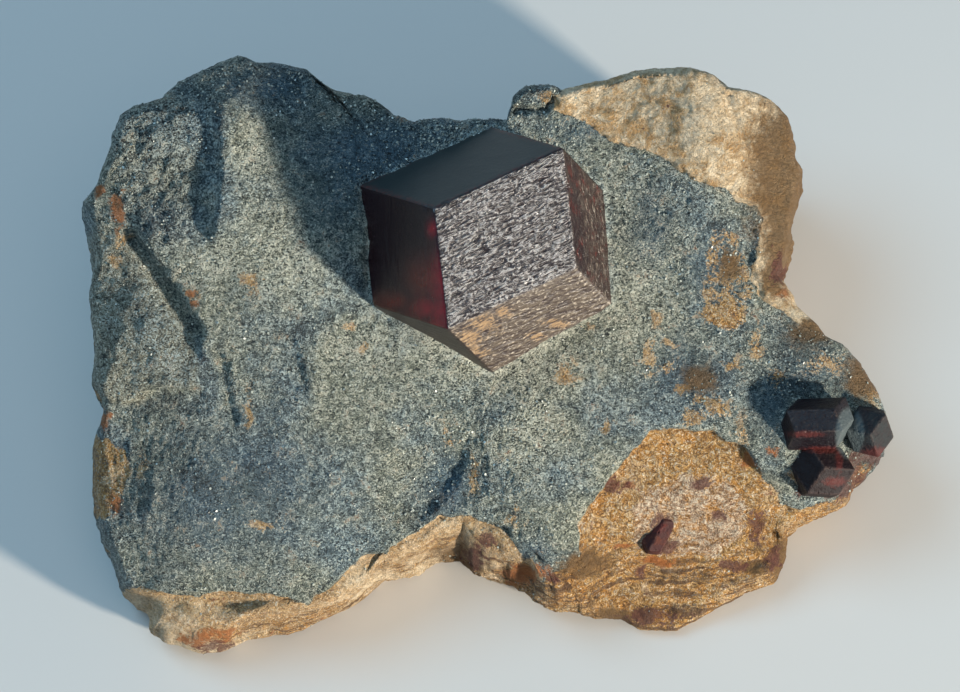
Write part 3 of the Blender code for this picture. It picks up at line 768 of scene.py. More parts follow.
def makeRock(material):
    # The plain lump is moved along its own normals by a relief: dishes of depth d^2 round scattered seed
    # points, soft swells, a ridged grain, crumpled mica, bedding and ledges, less every crack's depth.
    points, quads, onFace, below = plainRock()
    normals = pointNormals(points, quads)
    masks, across, up = groundMasks(points)
    wall = smoothStep(0.6, 3.5, below)
    stained = np.clip(masks["tan"] + masks["mound"] + masks["underside"], 0.0, 1.0)

    size, depth = rock["dish"]
    wave, reach = rock["dishWarp"]
    warped = points + reach * np.stack([noise(points / wave, seed) for seed in (3, 4, 5)], axis=-1)
    nearest, _ = cellNoise(warped / size, 21)
    relief = depth * (nearest**2 * 1.4 - 0.62)
    size, height = rock["swell"]
    relief += height * layeredNoise(points / size, 8, 3) * (0.6 + 0.6 * wall)
    size, height = rock["roughness"]
    amount = 0.45 + 0.5 * wall + 0.95 * masks["silvery"] + 0.1 * stained + 0.55 * masks["mound"]
    relief += height * (ridgedNoise(points / size, 12, 3) - 0.35) * amount
    size, height = rock["crumple"]
    streak = points * np.array([1.5, 0.75, 1.0])
    relief += height * ridgedNoise(streak / size, 17, 2) * (1.0 - 0.45 * stained + 0.5 * masks["silvery"])

    # bedding planes edge the sides: steps that follow the face's slope, wavy and of uneven thickness
    thickness, depth = rock["layer"]
    level = toFace(points)[..., 2] / thickness
    (longWave, longHeight), (shortWave, shortHeight) = rock["bedWaves"]
    waves = longHeight * layeredNoise(points / longWave, 61, 3)
    level += waves + shortHeight * layeredNoise(points / shortWave, 67, 3)
    bed = level - np.floor(level)
    bedRelief = smoothStep(0.0, 0.25, bed) - smoothStep(0.55, 1.0, bed) - 0.5
    bedRelief *= 0.6 + 0.8 * noise(np.stack([np.floor(level), across / 8.0, up / 8.0], axis=-1), 71)
    slope = smoothStep(-16.0, -22.0, up) * masks["mound"]
    amount = wall + 0.25 * masks["mound"] + 0.6 * slope + 0.3 * masks["underside"]
    relief += depth * bedRelief * np.clip(amount, 0.0, 1.0)

    # steps: the stained shoulder stands a little proud, the broken corner a little low
    relief += ledgeHeight(across, up) * onFace

    # the rock stands up in a low lip against the large crystal, and falls away along its left side
    outside = np.maximum(crystalGauge("garnet_main", points) - 1.0, 0.0)
    contact = np.exp(-((outside / rock["lipReach"]) ** 2)) * onFace
    leftSide = smoothStep(-10.0, -12.5, across)
    relief += rock["lip"] * contact * (0.6 + noise(points / 1.3, 77)) - rock["gap"] * contact * leftSide
    groove = crackDepth(across, up) * onFace
    relief -= groove

    # the base stays flat on the ground
    fade = smoothStep(0.0, rock["flatBase"], points[:, 2])
    moved = points + normals * (relief * fade)[:, None]
    moved[:, 2] = np.maximum(moved[:, 2], 0.0)
    masks["underside"] = masks["underside"] * (1.0 - masks["mound"])
    # painted shade: the dark mask also darkens the grooves of the cracks
    masks["darkAndPaintedShade"] = np.maximum(masks["darkAndPaintedShade"] * 0.8, 0.55 * smoothStep(0.25, 0.9, groove))
    masks.update({"wall": wall, "contact": contact, "slope": slope})
    makePiece("schistLump", moved, quads, masks, material, "schist_matrix")
    return moved, quads, masks


def crystalGauge(name, points):
    # 1 on the faces of a crystal, less inside it, more outside: the largest of (x . n) / h over its faces
    crystal = crystals[name]
    directions = edgeDirections(crystal)
    local = points - fromFace(*crystal["centre"])
    gauge = np.zeros(len(points))
    for first, second in facePairs:
        normal = np.cross(directions[first], directions[second])
        reach = sum(abs(normal @ directions[k]) * crystal["edges"][k] / 2.0 for k in range(4))
        gauge = np.maximum(gauge, abs(local @ normal) / reach)
    return gauge


def toFaceNormal(normals):
    # how squarely a surface faces the way the lump's face does
    lean = leaningFace["lean"]
    return normals[:, 2] * math.cos(lean) - normals[:, 1] * math.sin(lean)


# mica: thin silvery plates that stand out of the rock at every tilt
mica = {
    "count": 6000,
    "size": (0.05, 0.15),       # reach of a plate, smallest and largest
    "thickness": 0.05,
    "stand": 0.04,              # how far its middle stands out of the rock
    "tilt": 0.55,               # how far a plate may turn off the surface it sits on
    "seed": 5,
    "dull": (0.16, 0.18, 0.16), "bright": (0.44, 0.46, 0.40), "roughness": 0.34, "coat": 0.3,
}


def makeMica(material, points, quads, attributes):
    # each plate is a flat hexagon with two faces and six sides, turned a little off its bed's normal
    random = np.random.default_rng(mica["seed"])
    normals = pointNormals(points, quads)
    face = toFace(points)
    clean = 1.0 - np.clip(attributes["tan"] + attributes["mound"] + 0.8 * attributes["underside"], 0.0, 1.0)
    patchy = 0.35 + smoothStep(-0.2, 0.5, noise(points / 4.0, 91))
    chance = (0.02 + 0.98 * clean) * (points[:, 2] > 1.5) * patchy
    chance = chance * np.where(toFaceNormal(normals) > 0.3, 1.0, 0.6)
    beds = random.choice(len(points), mica["count"], replace=False, p=chance / chance.sum())
    count = len(beds)
    normal = normals[beds] + mica["tilt"] * random.normal(size=(count, 3)) * 0.6
    normal /= np.linalg.norm(normal, axis=1, keepdims=True)
    sideways = np.cross(normal, random.normal(size=(count, 3)))
    sideways /= np.linalg.norm(sideways, axis=1, keepdims=True)
    forward = np.cross(normal, sideways)
    smallest, largest = mica["size"]
    size = smallest + (largest - smallest) * random.random(count) ** 2.2
    stretch = 0.6 + 0.4 * random.random(count)
    turns = np.arange(6) * math.pi / 3.0
    ring = (np.cos(turns)[None, :, None] * sideways[:, None] * size[:, None, None]
            + np.sin(turns)[None, :, None] * forward[:, None] * (size * stretch)[:, None, None])
    lift = (normal * mica["thickness"])[:, None]
    middle = (points[beds] + normals[beds] * mica["stand"])[:, None]
    plates = np.concatenate([middle + ring - 0.5 * lift, middle + ring + 0.5 * lift], axis=1)
    lower, upper = np.arange(6), np.arange(6) + 6
    after = np.roll(lower, -1)
    sides = np.stack([lower, after, after + 6, upper], axis=1)
    top = np.array([[6, 7, 8, 9], [6, 9, 10, 11]])
    bottom = np.array([[3, 2, 1, 0], [5, 4, 3, 0]])
    plateFaces = np.concatenate([sides, top, bottom])
    faces = (plateFaces[None] + 12 * np.arange(count)[:, None, None]).reshape(-1, 4)
    tone = np.repeat(random.random(count), 12)
    plates = plates.reshape(-1, 3)
    piece = makePiece("micaPlates", plates, faces, {"tone": tone}, material, "schist_matrix")
    piece.data.polygons.foreach_set("use_smooth", np.zeros(len(faces), bool))


# garnets: every crystal is a stack of four edge directions, one toward each corner of a tetrahedron
crystals = {
    "garnet_main": {
        "edges": (12.0, 14.4, 12.1, 12.0), "turn": (-72.4, 35.1, 73.7), "centre": (0.0, 10.5, -1.1),
        "spacing": 0.15, "sharpness": 150.0, "chips": 0.05,
    },
    "garnet_side_upper": {
        "edges": (4.8, 3.2, 2.4, 3.0), "turn": (21.0, 45.0, -20.0), "centre": (32.7, -7.0, -1.5),
        "spacing": 0.075, "sharpness": 70.0, "chips": 0.05,
    },
    "garnet_side_tip": {
        "edges": (2.7, 2.8, 2.6, 2.7), "turn": (170.0, -53.0, 25.0), "centre": (38.0, -7.7, -3.3),
        "spacing": 0.075, "sharpness": 60.0, "chips": 0.08,
    },
    "garnet_side_lower": {
        "edges": (3.6, 3.1, 3.6, 3.4), "turn": (151.0, -26.0, -8.0), "centre": (33.1, -11.5, -3.8),
        "spacing": 0.075, "sharpness": 60.0, "chips": 0.10,
    },
    "garnet_remnant": {
        "edges": (3.3, 1.4, 1.3, 1.7), "turn": (140.0, -44.0, 120.0), "centre": (16.9, -18.1, -5.2),
        "spacing": 0.075, "sharpness": 30.0, "chips": 0.25,
    },
}
towardCorners = np.array([(1, 1, 1), (1, -1, -1), (-1, 1, -1), (-1, -1, 1)]) / math.sqrt(3.0)
facePairs = ((0, 1), (0, 2), (0, 3), (1, 2), (1, 3), (2, 3))      # each face runs between two of them


def edgeDirections(crystal):
    # the four directions, turned with the crystal
    turn = Euler([math.radians(angle) for angle in crystal["turn"]]).to_matrix()
    return towardCorners @ np.array(turn).T


def plainCrystal(crystal):
    # The twelve faces are the parallelograms of every two directions: centre of the face plus
    # s of one edge and t of the other. All are then drawn in to a body whose edges are a little
    # round: x / (sum over the faces of (x . n / h)^k)^(1/k), where h is a face's distance.
    edges = np.array(crystal["edges"])
    directions = edgeDirections(crystal)
    patches, faces, labels, sheets = [], [], [], []
    normals, reaches = [], []
    start = 0
    for number, (first, second) in enumerate(facePairs):
        for side in (1.0, -1.0):
            normal = side * np.cross(directions[first], directions[second])
            normal /= np.linalg.norm(normal)
            others = [k for k in range(4) if k not in (first, second)]
            halves = [math.copysign(0.5, normal @ directions[k]) * edges[k] * directions[k] for k in others]
            middle = sum(halves)
            normals.append(normal)
            reaches.append(normal @ middle)
            countS = int(round(edges[first] / crystal["spacing"]))
            countT = int(round(edges[second] / crystal["spacing"]))
            stepsS, stepsT = np.linspace(-0.5, 0.5, countS + 1), np.linspace(-0.5, 0.5, countT + 1)
            s, t = np.meshgrid(stepsS, stepsT, indexing="ij")
            patch = middle + s[..., None] * edges[first] * directions[first]
            patch = patch + t[..., None] * edges[second] * directions[second]
            quads = gridFaces(countS + 1, countT + 1)
            patches.append(patch.reshape(-1, 3))
            faces.append((quads[:, ::-1] if side > 0 else quads) + start)
            # the edges meet at 70.5 degrees, whose sine is 0.943
            toEdge = 0.943 * np.minimum((0.5 - abs(s)) * edges[first], (0.5 - abs(t)) * edges[second])
            sheet = np.stack([s * edges[first], t * edges[second], toEdge], axis=-1)
            sheets.append(sheet.reshape(-1, 3))
            labels.append(np.full(patch.shape[0] * patch.shape[1], 2 * number + (side < 0)))
            start += patch.shape[0] * patch.shape[1]
    points, faces = np.concatenate(patches), np.concatenate(faces)
    sheets, labels = np.concatenate(sheets), np.concatenate(labels)
    normals, reaches = np.array(normals), np.array(reaches)
    # points on a shared edge become one, with the larger label
    _, keep, merged = np.unique(np.round(points, 3), axis=0, return_index=True, return_inverse=True)
    points, sheets, labels, faces = points[keep], sheets[keep], labels[keep], merged.reshape(-1)[faces]
    power = crystal["sharpness"]
    gauge = (np.clip(points @ normals.T / reaches, 0.0, 1.0) ** power).sum(axis=1) ** (1.0 / power)
    return points / gauge[:, None], faces, sheets, labels, normals


# relief and finish of the large crystal's faces, by which two edges they run along: wavelength along
# the first edge, along the second, height, and how fine its ridges are
faceRelief = {
    (0, 1): (4.0, 4.0, 0.030, 2), (0, 2): (0.9, 5.0, 0.022, 2), (0, 3): (5.0, 0.7, 0.045, 2),
    (1, 2): (1.6, 0.62, 0.105, 2), (1, 3): (2.6, 0.9, 0.055, 3), (2, 3): (5.5, 0.75, 0.050, 2),
}
smallRelief = (1.6, 1.6, 0.05, 3)                                   # and the small crystals' faces

# on the large crystal: red that glows through, embers and ochre dust, as spots on the lump's face
crystalSpots = {
    "glow": (
        (-5.7, 12.4, 0.5, 0.8), (-4.9, 7.2, 0.9, 2.6), (-4.9, 4.0, 1.0, 1.8), (-6.2, 4.6, 1.0, 0.8),
    ),
    "ember": (
        (-6.6, 7.4, 1.6, 2.0), (-9.8, 5.2, 1.8, 0.9), (-7.0, 4.4, 1.6, 1.2), (-5.6, 2.8, 0.9, 0.9),
    ),
    "dust": (
        (-2.0, 1.6, 1.5, 1.3), (-0.6, 3.0, 1.9, 1.2), (1.2, 4.2, 1.2, 0.7), (6.6, 3.0, 1.5, 0.6),
        (4.6, 1.8, 1.2, 0.5), (-1.4, 0.2, 1.5, 0.7),
    ),
}
# on the small ones: the red-brown ridges, and the pale oval on the end of the upper one
ridgeSpots = (
    (31.4, -8.0, 2.6, 0.45), (33.2, -9.6, 2.6, 0.5), (34.6, -12.8, 1.6, 0.7), (35.0, -10.6, 0.5, 1.6),
    (38.6, -10.0, 2.0, 0.9), (16.9, -17.4, 1.0, 0.8),
)
ovalSpot = (36.0, -7.9, 1.35, 2.3)


def makeCrystal(name, material):
    # Every face is lifted along its own normal by a relief that dies out toward its edges, and the
    # edges are nicked: chips take off up to a set depth where noise runs high.
    crystal = crystals[name]
    points, faces, sheets, labels, normals = plainCrystal(crystal)
    s, t, toEdge = sheets.T
    reach = 0.05 * min(crystal["edges"]) + 0.05
    fade = smoothStep(0.3 * reach, 1.3 * reach, toEdge)
    seed = len(name)
    isMain = name == "garnet_main"
    towardFace = fromFace(0.0, 0.0, 1.0) - fromFace(0.0, 0.0, 0.0)
    facing = normals[labels] @ towardFace > 0.0
    relief = np.zeros(len(points))
    masks = {}
    for number, pair in enumerate(facePairs):
        waveS, waveT, height, layers = faceRelief[pair] if isMain else smallRelief
        here = labels // 2 == number
        grid = np.stack([s / waveS, t / waveT, labels * 3.7 + 0.5], axis=-1)
        relief += here * height * (ridgedNoise(grid, seed, layers) * 2.0 - 0.35)
        masks["face%d%d" % pair] = here * facing * 1.0
    nick = smoothStep(0.15, 0.55, layeredNoise(points / (0.6 if isMain else 0.4), seed + 3, 2))
    nick = nick * (1.0 - smoothStep(0.0, 1.1 * reach, toEdge))
    moved = points + normals[labels] * (relief * fade)[:, None]
    inward = -points / np.linalg.norm(points, axis=1, keepdims=True)
    moved += inward * (crystal["chips"] * 2.0 * nick)[:, None]
    moved += fromFace(*crystal["centre"])
    across, up, _ = toFace(moved).T
    if isMain:
        masks.update({label: spots(across, up, places) for label, places in crystalSpots.items()})
        masks["strip"] = masks["face23"] * (1.0 - smoothStep(1.2, 4.0, t))
    else:
        centreX, centreY, reachX, reachY = ovalSpot
        oval = smoothStep(1.25, 0.95, np.hypot((across - centreX) / reachX, (up - centreY) / reachY))
        masks = {"oval": oval, "ridge": spots(across, up, ridgeSpots)}
    masks["edge"] = 1.0 - smoothStep(0.0, 2.2 * reach, toEdge)
    makePiece(name + "_crystal", moved, faces, masks, material, name)


# the schist: its colours, and how many turns of each grain there are to a millimetre
schistLook = {
    "blueGrey": (0.085, 0.125, 0.145), "greenGrey": (0.180, 0.200, 0.150), "steelAndShadowBlue": (0.065, 0.138, 0.205),
    "warmGrey": (0.270, 0.245, 0.165), "silver": (0.62, 0.74, 0.73), "frost": (0.82, 0.81, 0.68),
    "darkAndPaintedShade": (0.014, 0.020, 0.022), "tan": (0.68, 0.46, 0.24), "paleTan": (0.90, 0.72, 0.50),
    "cream": (0.86, 0.79, 0.65), "ochre": (0.52, 0.235, 0.042), "honey": (0.56, 0.33, 0.110),
    "rust": (0.42, 0.125, 0.020), "umberAndPaintedShade": (0.155, 0.080, 0.024), "brown": (0.085, 0.038, 0.016),
    "wine": (0.105, 0.024, 0.018), "rose": (0.54, 0.36, 0.25),
    "fineScale": 2.5, "finerScale": 7.0, "middlingScale": 0.62, "broadScale": 0.13, "webScale": 1.3,
    "strandScale": 2.1, "seamScale": 0.62, "facetScale": 3.2, "bedding": (0.16, 0.16, 1.9),
}


def schistMaterial():
    # A web of pale mica over a blue to green grey with dark pits, then each stain, and painted shade and
    # shadow, where its mask plus noise passes a half. The bump adds grains, strands and small facets of
    # mica at every tilt.
    material, tree, shader, start, place = startMaterial("schist")
    look = schistLook
    p = place.times((1000.0, 1000.0, 1000.0))
    fine = p.grain(look["fineScale"], 4.0, 0.72, 0.7)
    finer = p.grain(look["finerScale"], 2.0, 0.65)
    middling = p.grain(look["middlingScale"], 4.0, 0.62, 0.6)
    broad = p.grain(look["broadScale"], 4.0, 0.6)
    web = 1.0 - (p.grain(look["webScale"], 4.0, 0.68, 2.2) - 0.5).size() * 5.0
    drawn = p.times((1.0, 1.35, 1.2)).grain(look["strandScale"], 2.0, 0.55, 1.6)
    strands = 1.0 - (drawn - 0.5).size() * 9.0
    facets = p.cells(look["facetScale"])
    masks = {name: attribute(start, name) for name in (*grounds, *stains, "wall", "contact", "slope")}
    wander = (middling - 0.5) * 1.5 + (fine - 0.5) * 0.9
    lace = (middling - 0.5) * 2.6 + (fine - 0.5) * 2.4

    def patch(amount):
        # a stain's mask with its edge broken up by the noise
        return (amount + wander).step(0.38, 0.62)

    # the fresh grey, its pale flecks and its dark pits
    speckle = fine * 0.38 + finer * 0.20 + strands * 0.105 + web * 0.05 + middling * 0.20 + 0.005
    tone = (broad * 1.5 + middling * 0.4 - 0.45 + masks["pale"] * 0.40).step(0.25, 0.75)
    grey = tone.tint(look["blueGrey"], look["greenGrey"])
    grey = (masks["warmGrey"] * 0.7).tint(grey, look["warmGrey"])
    # painted shadow and shade: the blue and dark masks tint the grey steel blue, thin its pale flecks and
    # add dark pits
    grey = (masks["blueAndPaintedShadow"] * (middling * 1.2).smaller(0.9)).tint(grey, look["steelAndShadowBlue"])
    lift = masks["pale"] * 0.035 + masks["silvery"] * 0.02 + masks["contact"] * 0.06 - masks["darkAndPaintedShade"] * 0.03
    flecks = (speckle + lift - masks["blueAndPaintedShadow"] * 0.045).step(0.455, 0.60)
    grey = (flecks * 0.92).tint(grey, tone.tint(look["silver"], look["frost"]))
    filled = speckle - masks["darkAndPaintedShade"] * 0.06 - masks["silvery"] * 0.035 + masks["pale"] * 0.01
    pits = 1.0 - (filled + masks["contact"] * 0.03).step(0.36, 0.475)
    grey = (pits * 0.95).tint(grey, look["darkAndPaintedShade"])

    # iron-stained ground, from cream through tan and ochre to brown
    specks = fine * 0.6 + finer * 0.4
    crumbs = 1.0 - specks.step(0.38, 0.50)
    rich = (middling * 1.2 + broad * 0.6 - 0.4).step(0.2, 0.8)
    tan = rich.tint(look["paleTan"], look["tan"])
    tan = ((middling * 0.6 + broad * 0.4).step(0.50, 0.62) * 0.5).tint(tan, look["ochre"])
    tan = (specks.step(0.51, 0.64) * 0.6).tint(tan, look["cream"])
    tan = (crumbs * 0.45).tint(tan, look["brown"])
    ochre = (middling * 0.8 + fine * 0.4 - 0.1).step(0.35, 0.62).tint(look["ochre"], look["honey"])
    ochre = ((broad * 0.5 + middling * 0.5).step(0.50, 0.60) * 0.25).tint(ochre, look["paleTan"])
    ochre = (specks.step(0.515, 0.60) * 0.72).tint(ochre, look["cream"])
    ochre = (crumbs * 0.9).tint(ochre, look["brown"])
    heart = (specks + middling * 0.3).step(0.60, 0.82).tint(look["rose"], look["cream"])
    heart = (crumbs * 0.9).tint(heart, look["wine"])
    inHeart = (masks["heart"] * 0.75 + (middling - 0.5) * 2.8 + (fine - 0.5) * 2.2).step(0.15, 0.95)
    ochre = (inHeart * 0.75).tint(ochre, heart)
    bands = p.times(look["bedding"]).grain(1.0, 4.0, 0.65, 0.35)
    bedded = (masks["slope"] + masks["wall"]).smaller(1.0) * (bands + (fine - 0.5) * 0.45).step(0.51, 0.60)
    ochre = (bedded * 0.82).tint(ochre, look["brown"])
    seams = 1.0 - (p.grain(look["seamScale"], 5.0, 0.66, 1.8) - 0.5).size().step(0.0, 0.045)
    ochre = (seams * 0.70).tint(ochre, look["brown"])
    tan = (seams * 0.16).tint(tan, look["brown"])

    # the grounds and then the smaller stains over the grey, with painted shade among them
    laced = (masks["freckled"] * 0.68 + masks["ochre"] * 0.85 + lace).step(0.45, 0.80)
    colour = laced.tint(grey, ochre)
    colour = patch(masks["tan"]).tint(colour, tan)
    below = (broad.step(0.35, 0.60) * 0.7).tint(tan, ochre)
    colour = patch(masks["underside"] * 0.95).tint(colour, below)
    colour = patch(masks["mound"] + masks["leftEdge"] * 0.7).tint(colour, ochre)
    wallStain = masks["wall"] * (broad * 2.2 - 0.7).step(0.2, 0.6)
    colour = patch(wallStain * 0.8).tint(colour, ochre)
    seep = (masks["mound"] + masks["underside"]) * (broad + middling * 0.5 - 0.68).larger(0.0)
    rusty = (masks["rust"] + seep * 1.4 + lace * 0.6).step(0.42, 0.85)
    colour = (rusty * (0.6 + fine * 0.5)).smaller(0.95).tint(colour, look["rust"])
    # painted shade: dark brown along the stained shoulder's right edge, over real brown stain
    edgeBrownAndShade = (masks["umberAndPaintedShade"] * 0.9 + lace * 0.35).step(0.0, 0.58)
    colour = (edgeBrownAndShade * 0.92).tint(colour, look["umberAndPaintedShade"])
    wine = (masks["wine"] * 1.15 + lace * 0.8).step(0.42, 0.80)
    colour = (wine * (0.55 + fine * 0.5)).smaller(0.95).tint(colour, look["wine"])
    # painted shade: near black in the cracks and wherever the dark mask runs high
    paintedCreviceShade = (masks["darkAndPaintedShade"] - 0.4).larger(0.0) * 0.7
    colour = paintedCreviceShade.tint(colour, look["darkAndPaintedShade"])
    connect(tree, colour, shader, "Base Color")

    stained = patch((masks["tan"] + masks["mound"] + masks["underside"] + wallStain).smaller(1.0))
    connect(tree, 0.60 - flecks * 0.20 * (1.0 - stained) + stained * 0.2, shader, "Roughness")
    slope = p.dot(facets.less((0.5, 0.5, 0.5)))
    height = fine * (0.50 + stained * 0.15) + finer * 0.16 + middling * 0.40 + web * 0.06
    height = height + strands * 0.105 * (1.0 - stained * 0.75)
    height = height + slope * 0.16 * (1.0 - stained * 0.4)
    height = height + web * masks["silvery"] * 0.16 - seams * stained * 0.10
    connect(tree, height.bump(1.0), shader, "Normal")
    print("mixed the schist")
    return material


def micaMaterial():
    # each plate has its own tone between a dull and a bright one, under a thin clear coat
    material, tree, shader, start, place = startMaterial("mica")
    tone = attribute(start, "tone")
    connect(tree, tone.tint(mica["dull"], mica["bright"]), shader, "Base Color")
    shader.inputs["Roughness"].default_value = mica["roughness"]
    shader.inputs["Coat Weight"].default_value = mica["coat"]
    p = place.times((1000.0, 1000.0, 1000.0))
    connect(tree, (p.grain(3.0, 2.0) * 0.05).bump(0.5), shader, "Normal")
    print("mixed the mica")
    return material


# the large crystal: its colours, its gloss, and how far the noise on its faces is drawn out
garnetLook = {
    "body": (0.016, 0.0030, 0.0050), "glow": (0.42, 0.006, 0.016), "ember": (0.20, 0.020, 0.009),
    "topFilm": (0.018, 0.029, 0.030), "frontFilm": (0.095, 0.080, 0.082), "paintedCrestHighlight": (0.64, 0.58, 0.55),
    "rightFilm": (0.046, 0.025, 0.020), "dustFilm": (0.110, 0.080, 0.058),
    "ochreDust": (0.36, 0.22, 0.105), "paleDust": (0.55, 0.48, 0.40),
    "transmission": 0.20, "refraction": 1.78, "gloss": 0.32, "fineScale": 2.9, "middlingScale": 0.7,
    # the edge it runs along, the one it crosses, a third, its scale on each, roughness, distortion
    "ripple": (1, 2, 0, (0.72, 2.8, 0.3), 0.60, 0.4),
    "lines": (2, 3, 0, (0.22, 3.6, 3.6), 0.65, 0.15),
    "drag": (1, 3, 2, (0.7, 2.8, 1.4), 0.65, 0.2),
}


def garnetMaterial():
    # Each face has its own thin film over the dark red body. The bump is hammered on the front face
    # and drawn in fine lines on the others, along the edges that the face runs between.
    material, tree, shader, start, place = startMaterial("garnet")
    look = garnetLook
    p = place.times((1000.0, 1000.0, 1000.0))
    along = [p.along(direction) for direction in edgeDirections(crystals["garnet_main"])]
    names = (*("face%d%d" % pair for pair in facePairs), *crystalSpots, "edge", "strip")
    masks = {name: attribute(start, name) for name in names}
    fine = p.grain(look["fineScale"], 3.0, 0.65)
    middling = p.grain(look["middlingScale"], 3.0, 0.6)

    def streaks(first, second, third, scales, roughness, distortion):
        # Noise drawn out along the first edge. The second is made square to it by a third of the
        # first, because the edges meet with a cosine of minus a third.
        square = along[second] + along[first] * 0.333
        stretched = (along[first] * scales[0]).joined(square * scales[1], along[third] * scales[2])
        return stretched.grain(1.0, 3.0, roughness, distortion)

    ripple = 1.0 - (streaks(*look["ripple"]) - 0.5).size() * 6.0
    lines = streaks(*look["lines"])
    drag = streaks(*look["drag"])

    # the films on the top and front faces, and a painted highlight along the ripples' crests
    colour = (masks["face01"] * 0.9).tint(look["body"], look["topFilm"])
    hammered = ripple * 0.6 + 0.2 + (fine - 0.5) * 1.6 + (middling - 0.5) * 0.9
    colour = (masks["face12"] * hammered.step(0.0, 0.9)).tint(colour, look["frontFilm"])
    # painted highlight: pale streaks on the crests of the front face's ripples
    paintedCrestHighlight = masks["face12"] * (ripple + (fine - 0.5) * 1.1).step(0.70, 1.0)
    colour = (paintedCrestHighlight * 0.75).tint(colour, look["paintedCrestHighlight"])
    # the right face: its film, pale scratches and red lines
    right = masks["face23"] * (masks["strip"] * 0.7 + 0.1 + (lines - 0.5) * 4.0).step(0.1, 1.0)
    colour = right.tint(colour, look["rightFilm"])
    scratch = masks["face23"] * (masks["strip"] * 0.7 + 0.3) * (lines + (fine - 0.5) * 0.3).step(0.56, 0.66)
    colour = (scratch * 0.42).tint(colour, look["paleDust"])
    redLines = masks["face23"] * (lines - (fine - 0.5) * 0.3).step(0.47, 0.40) * middling.step(0.5, 0.62)
    colour = (redLines * 0.6).tint(colour, look["ember"])
    # the lower faces: dragged dust
    colour = (masks["face13"] * (0.55 + (drag - 0.5) * 3.4).step(0.0, 1.0)).tint(colour, look["dustFilm"])
    dragged = masks["face13"] * (fine * 0.7 + drag * 0.3).step(0.55, 0.62)
    colour = (dragged * 0.7).tint(colour, look["paleDust"])
    colour = (masks["face03"] * (fine * 1.1).step(0.25, 0.9) * 0.7).tint(colour, look["dustFilm"])
    # red that glows through the left face
    inner = masks["face02"] * (middling * 0.9 + (fine - 0.5) * 0.5 + 0.25).smaller(1.0)
    colour = (masks["ember"] * inner).tint(colour, look["ember"])
    colour = (masks["glow"] * inner).tint(colour, look["glow"])
    # ochre dust, and what is worn or caught along the edges
    dusty = masks["dust"] * masks["face13"] * 0.8 + (fine - 0.5) * 1.8 + (drag - 0.5) * 2.0
    dusty = dusty.step(0.35, 0.95) * masks["face13"]
    colour = (dusty * 0.8).tint(colour, look["ochreDust"])
    worn = (masks["face13"] + masks["face12"] * 0.7 + masks["face23"] * 0.3).smaller(1.0)
    rim = (masks["edge"] * 0.55 * worn + (fine - 0.5) * 1.5).step(0.45, 0.95)
    colour = (rim * 0.35).tint(colour, look["paleDust"])
    topRim = masks["face01"] * (masks["edge"] * 0.6 + (fine - 0.5) * 1.2).step(0.35, 0.9)
    colour = (topRim * 0.5).tint(colour, look["ember"])
    connect(tree, colour, shader, "Base Color")

    rough = 0.25 + masks["face01"] * 0.2 + dusty * 0.45 + masks["face13"] * 0.12 + masks["face03"] * 0.2
    connect(tree, rough + (fine - 0.5) * 0.12, shader, "Roughness")
    shader.inputs["Transmission Weight"].default_value = look["transmission"]
    shader.inputs["IOR"].default_value = look["refraction"]
    shader.inputs["Specular IOR Level"].default_value = look["gloss"]
    height = masks["face12"] * (ripple * 0.15 + fine * 0.16) + masks["face23"] * lines * 0.34
    height = height + masks["face02"] * lines * 0.04 + masks["face13"] * drag * 0.22
    height = height + masks["face03"] * drag * 0.15 + fine * 0.030
    connect(tree, height.bump(1.0), shader, "Normal")
    print("mixed the garnet")
    return material


# the small crystals: slot, colour of the stone and of its film, how much film, how rough, how glossy
smallLooks = {
    "garnet_side_upper": {
        "slot": "garnet_dark", "stone": (0.007, 0.0030, 0.006), "film": (0.010, 0.008, 0.012),
        "cover": 0.40, "rough": 0.36, "gloss": 0.16,
    },
    "garnet_side_tip": {
        "slot": "garnet_coated", "stone": (0.012, 0.009, 0.012), "film": (0.024, 0.028, 0.031),
        "cover": 0.50, "rough": 0.62, "gloss": 0.1,
    },
    "garnet_side_lower": {
        "slot": "garnet_rusty", "stone": (0.008, 0.0022, 0.004), "film": (0.013, 0.006, 0.006),
        "cover": 0.40, "rough": 0.60, "gloss": 0.1,
    },
    "garnet_remnant": {
        "slot": "garnet_broken", "stone": (0.040, 0.008, 0.008), "film": (0.080, 0.024, 0.016),
        "cover": 0.45, "rough": 0.70, "gloss": 0.1,
    },
}
# and what they share
smallSkin = {
    "edge": (0.20, 0.13, 0.11), "ridge": (0.085, 0.014, 0.012), "oval": (0.085, 0.110, 0.118),
    "fineScale": 3.2, "middlingScale": 0.9, "transmission": 0.10,
}


def smallGarnetMaterial(name):
    # a patchy film over the stone, dust at its edges, and the red ridges and pale oval by their masks
    look = smallLooks[name]
    material, tree, shader, start, place = startMaterial(name + "_stone")
    p = place.times((1000.0, 1000.0, 1000.0))
    fine = p.grain(smallSkin["fineScale"], 3.0, 0.65)
    middling = p.grain(smallSkin["middlingScale"], 3.0, 0.6)
    edge = attribute(start, "edge")
    amount = (middling + (fine - 0.5) * 0.6 + (look["cover"] - 0.5)).step(0.38, 0.66)
    colour = amount.tint(look["stone"], look["film"])
    colour = ((edge + (fine - 0.5) * 1.6).step(0.6, 1.1) * 0.15).tint(colour, smallSkin["edge"])
    ridge = (attribute(start, "ridge") + (fine - 0.5) * 1.2).step(0.35, 0.9)
    colour = (ridge * 0.8).tint(colour, smallSkin["ridge"])
    oval = attribute(start, "oval")
    colour = (oval * (0.5 + fine * 0.5)).tint(colour, smallSkin["oval"])
    connect(tree, colour, shader, "Base Color")
    connect(tree, look["rough"] + oval * 0.2 + amount * 0.2 + (fine - 0.5) * 0.1, shader, "Roughness")
    shader.inputs["Transmission Weight"].default_value = smallSkin["transmission"]
    shader.inputs["Specular IOR Level"].default_value = look["gloss"]
    shader.inputs["IOR"].default_value = garnetLook["refraction"]
    connect(tree, (fine * 0.16 + middling * 0.12).bump(1.0), shader, "Normal")
    return material


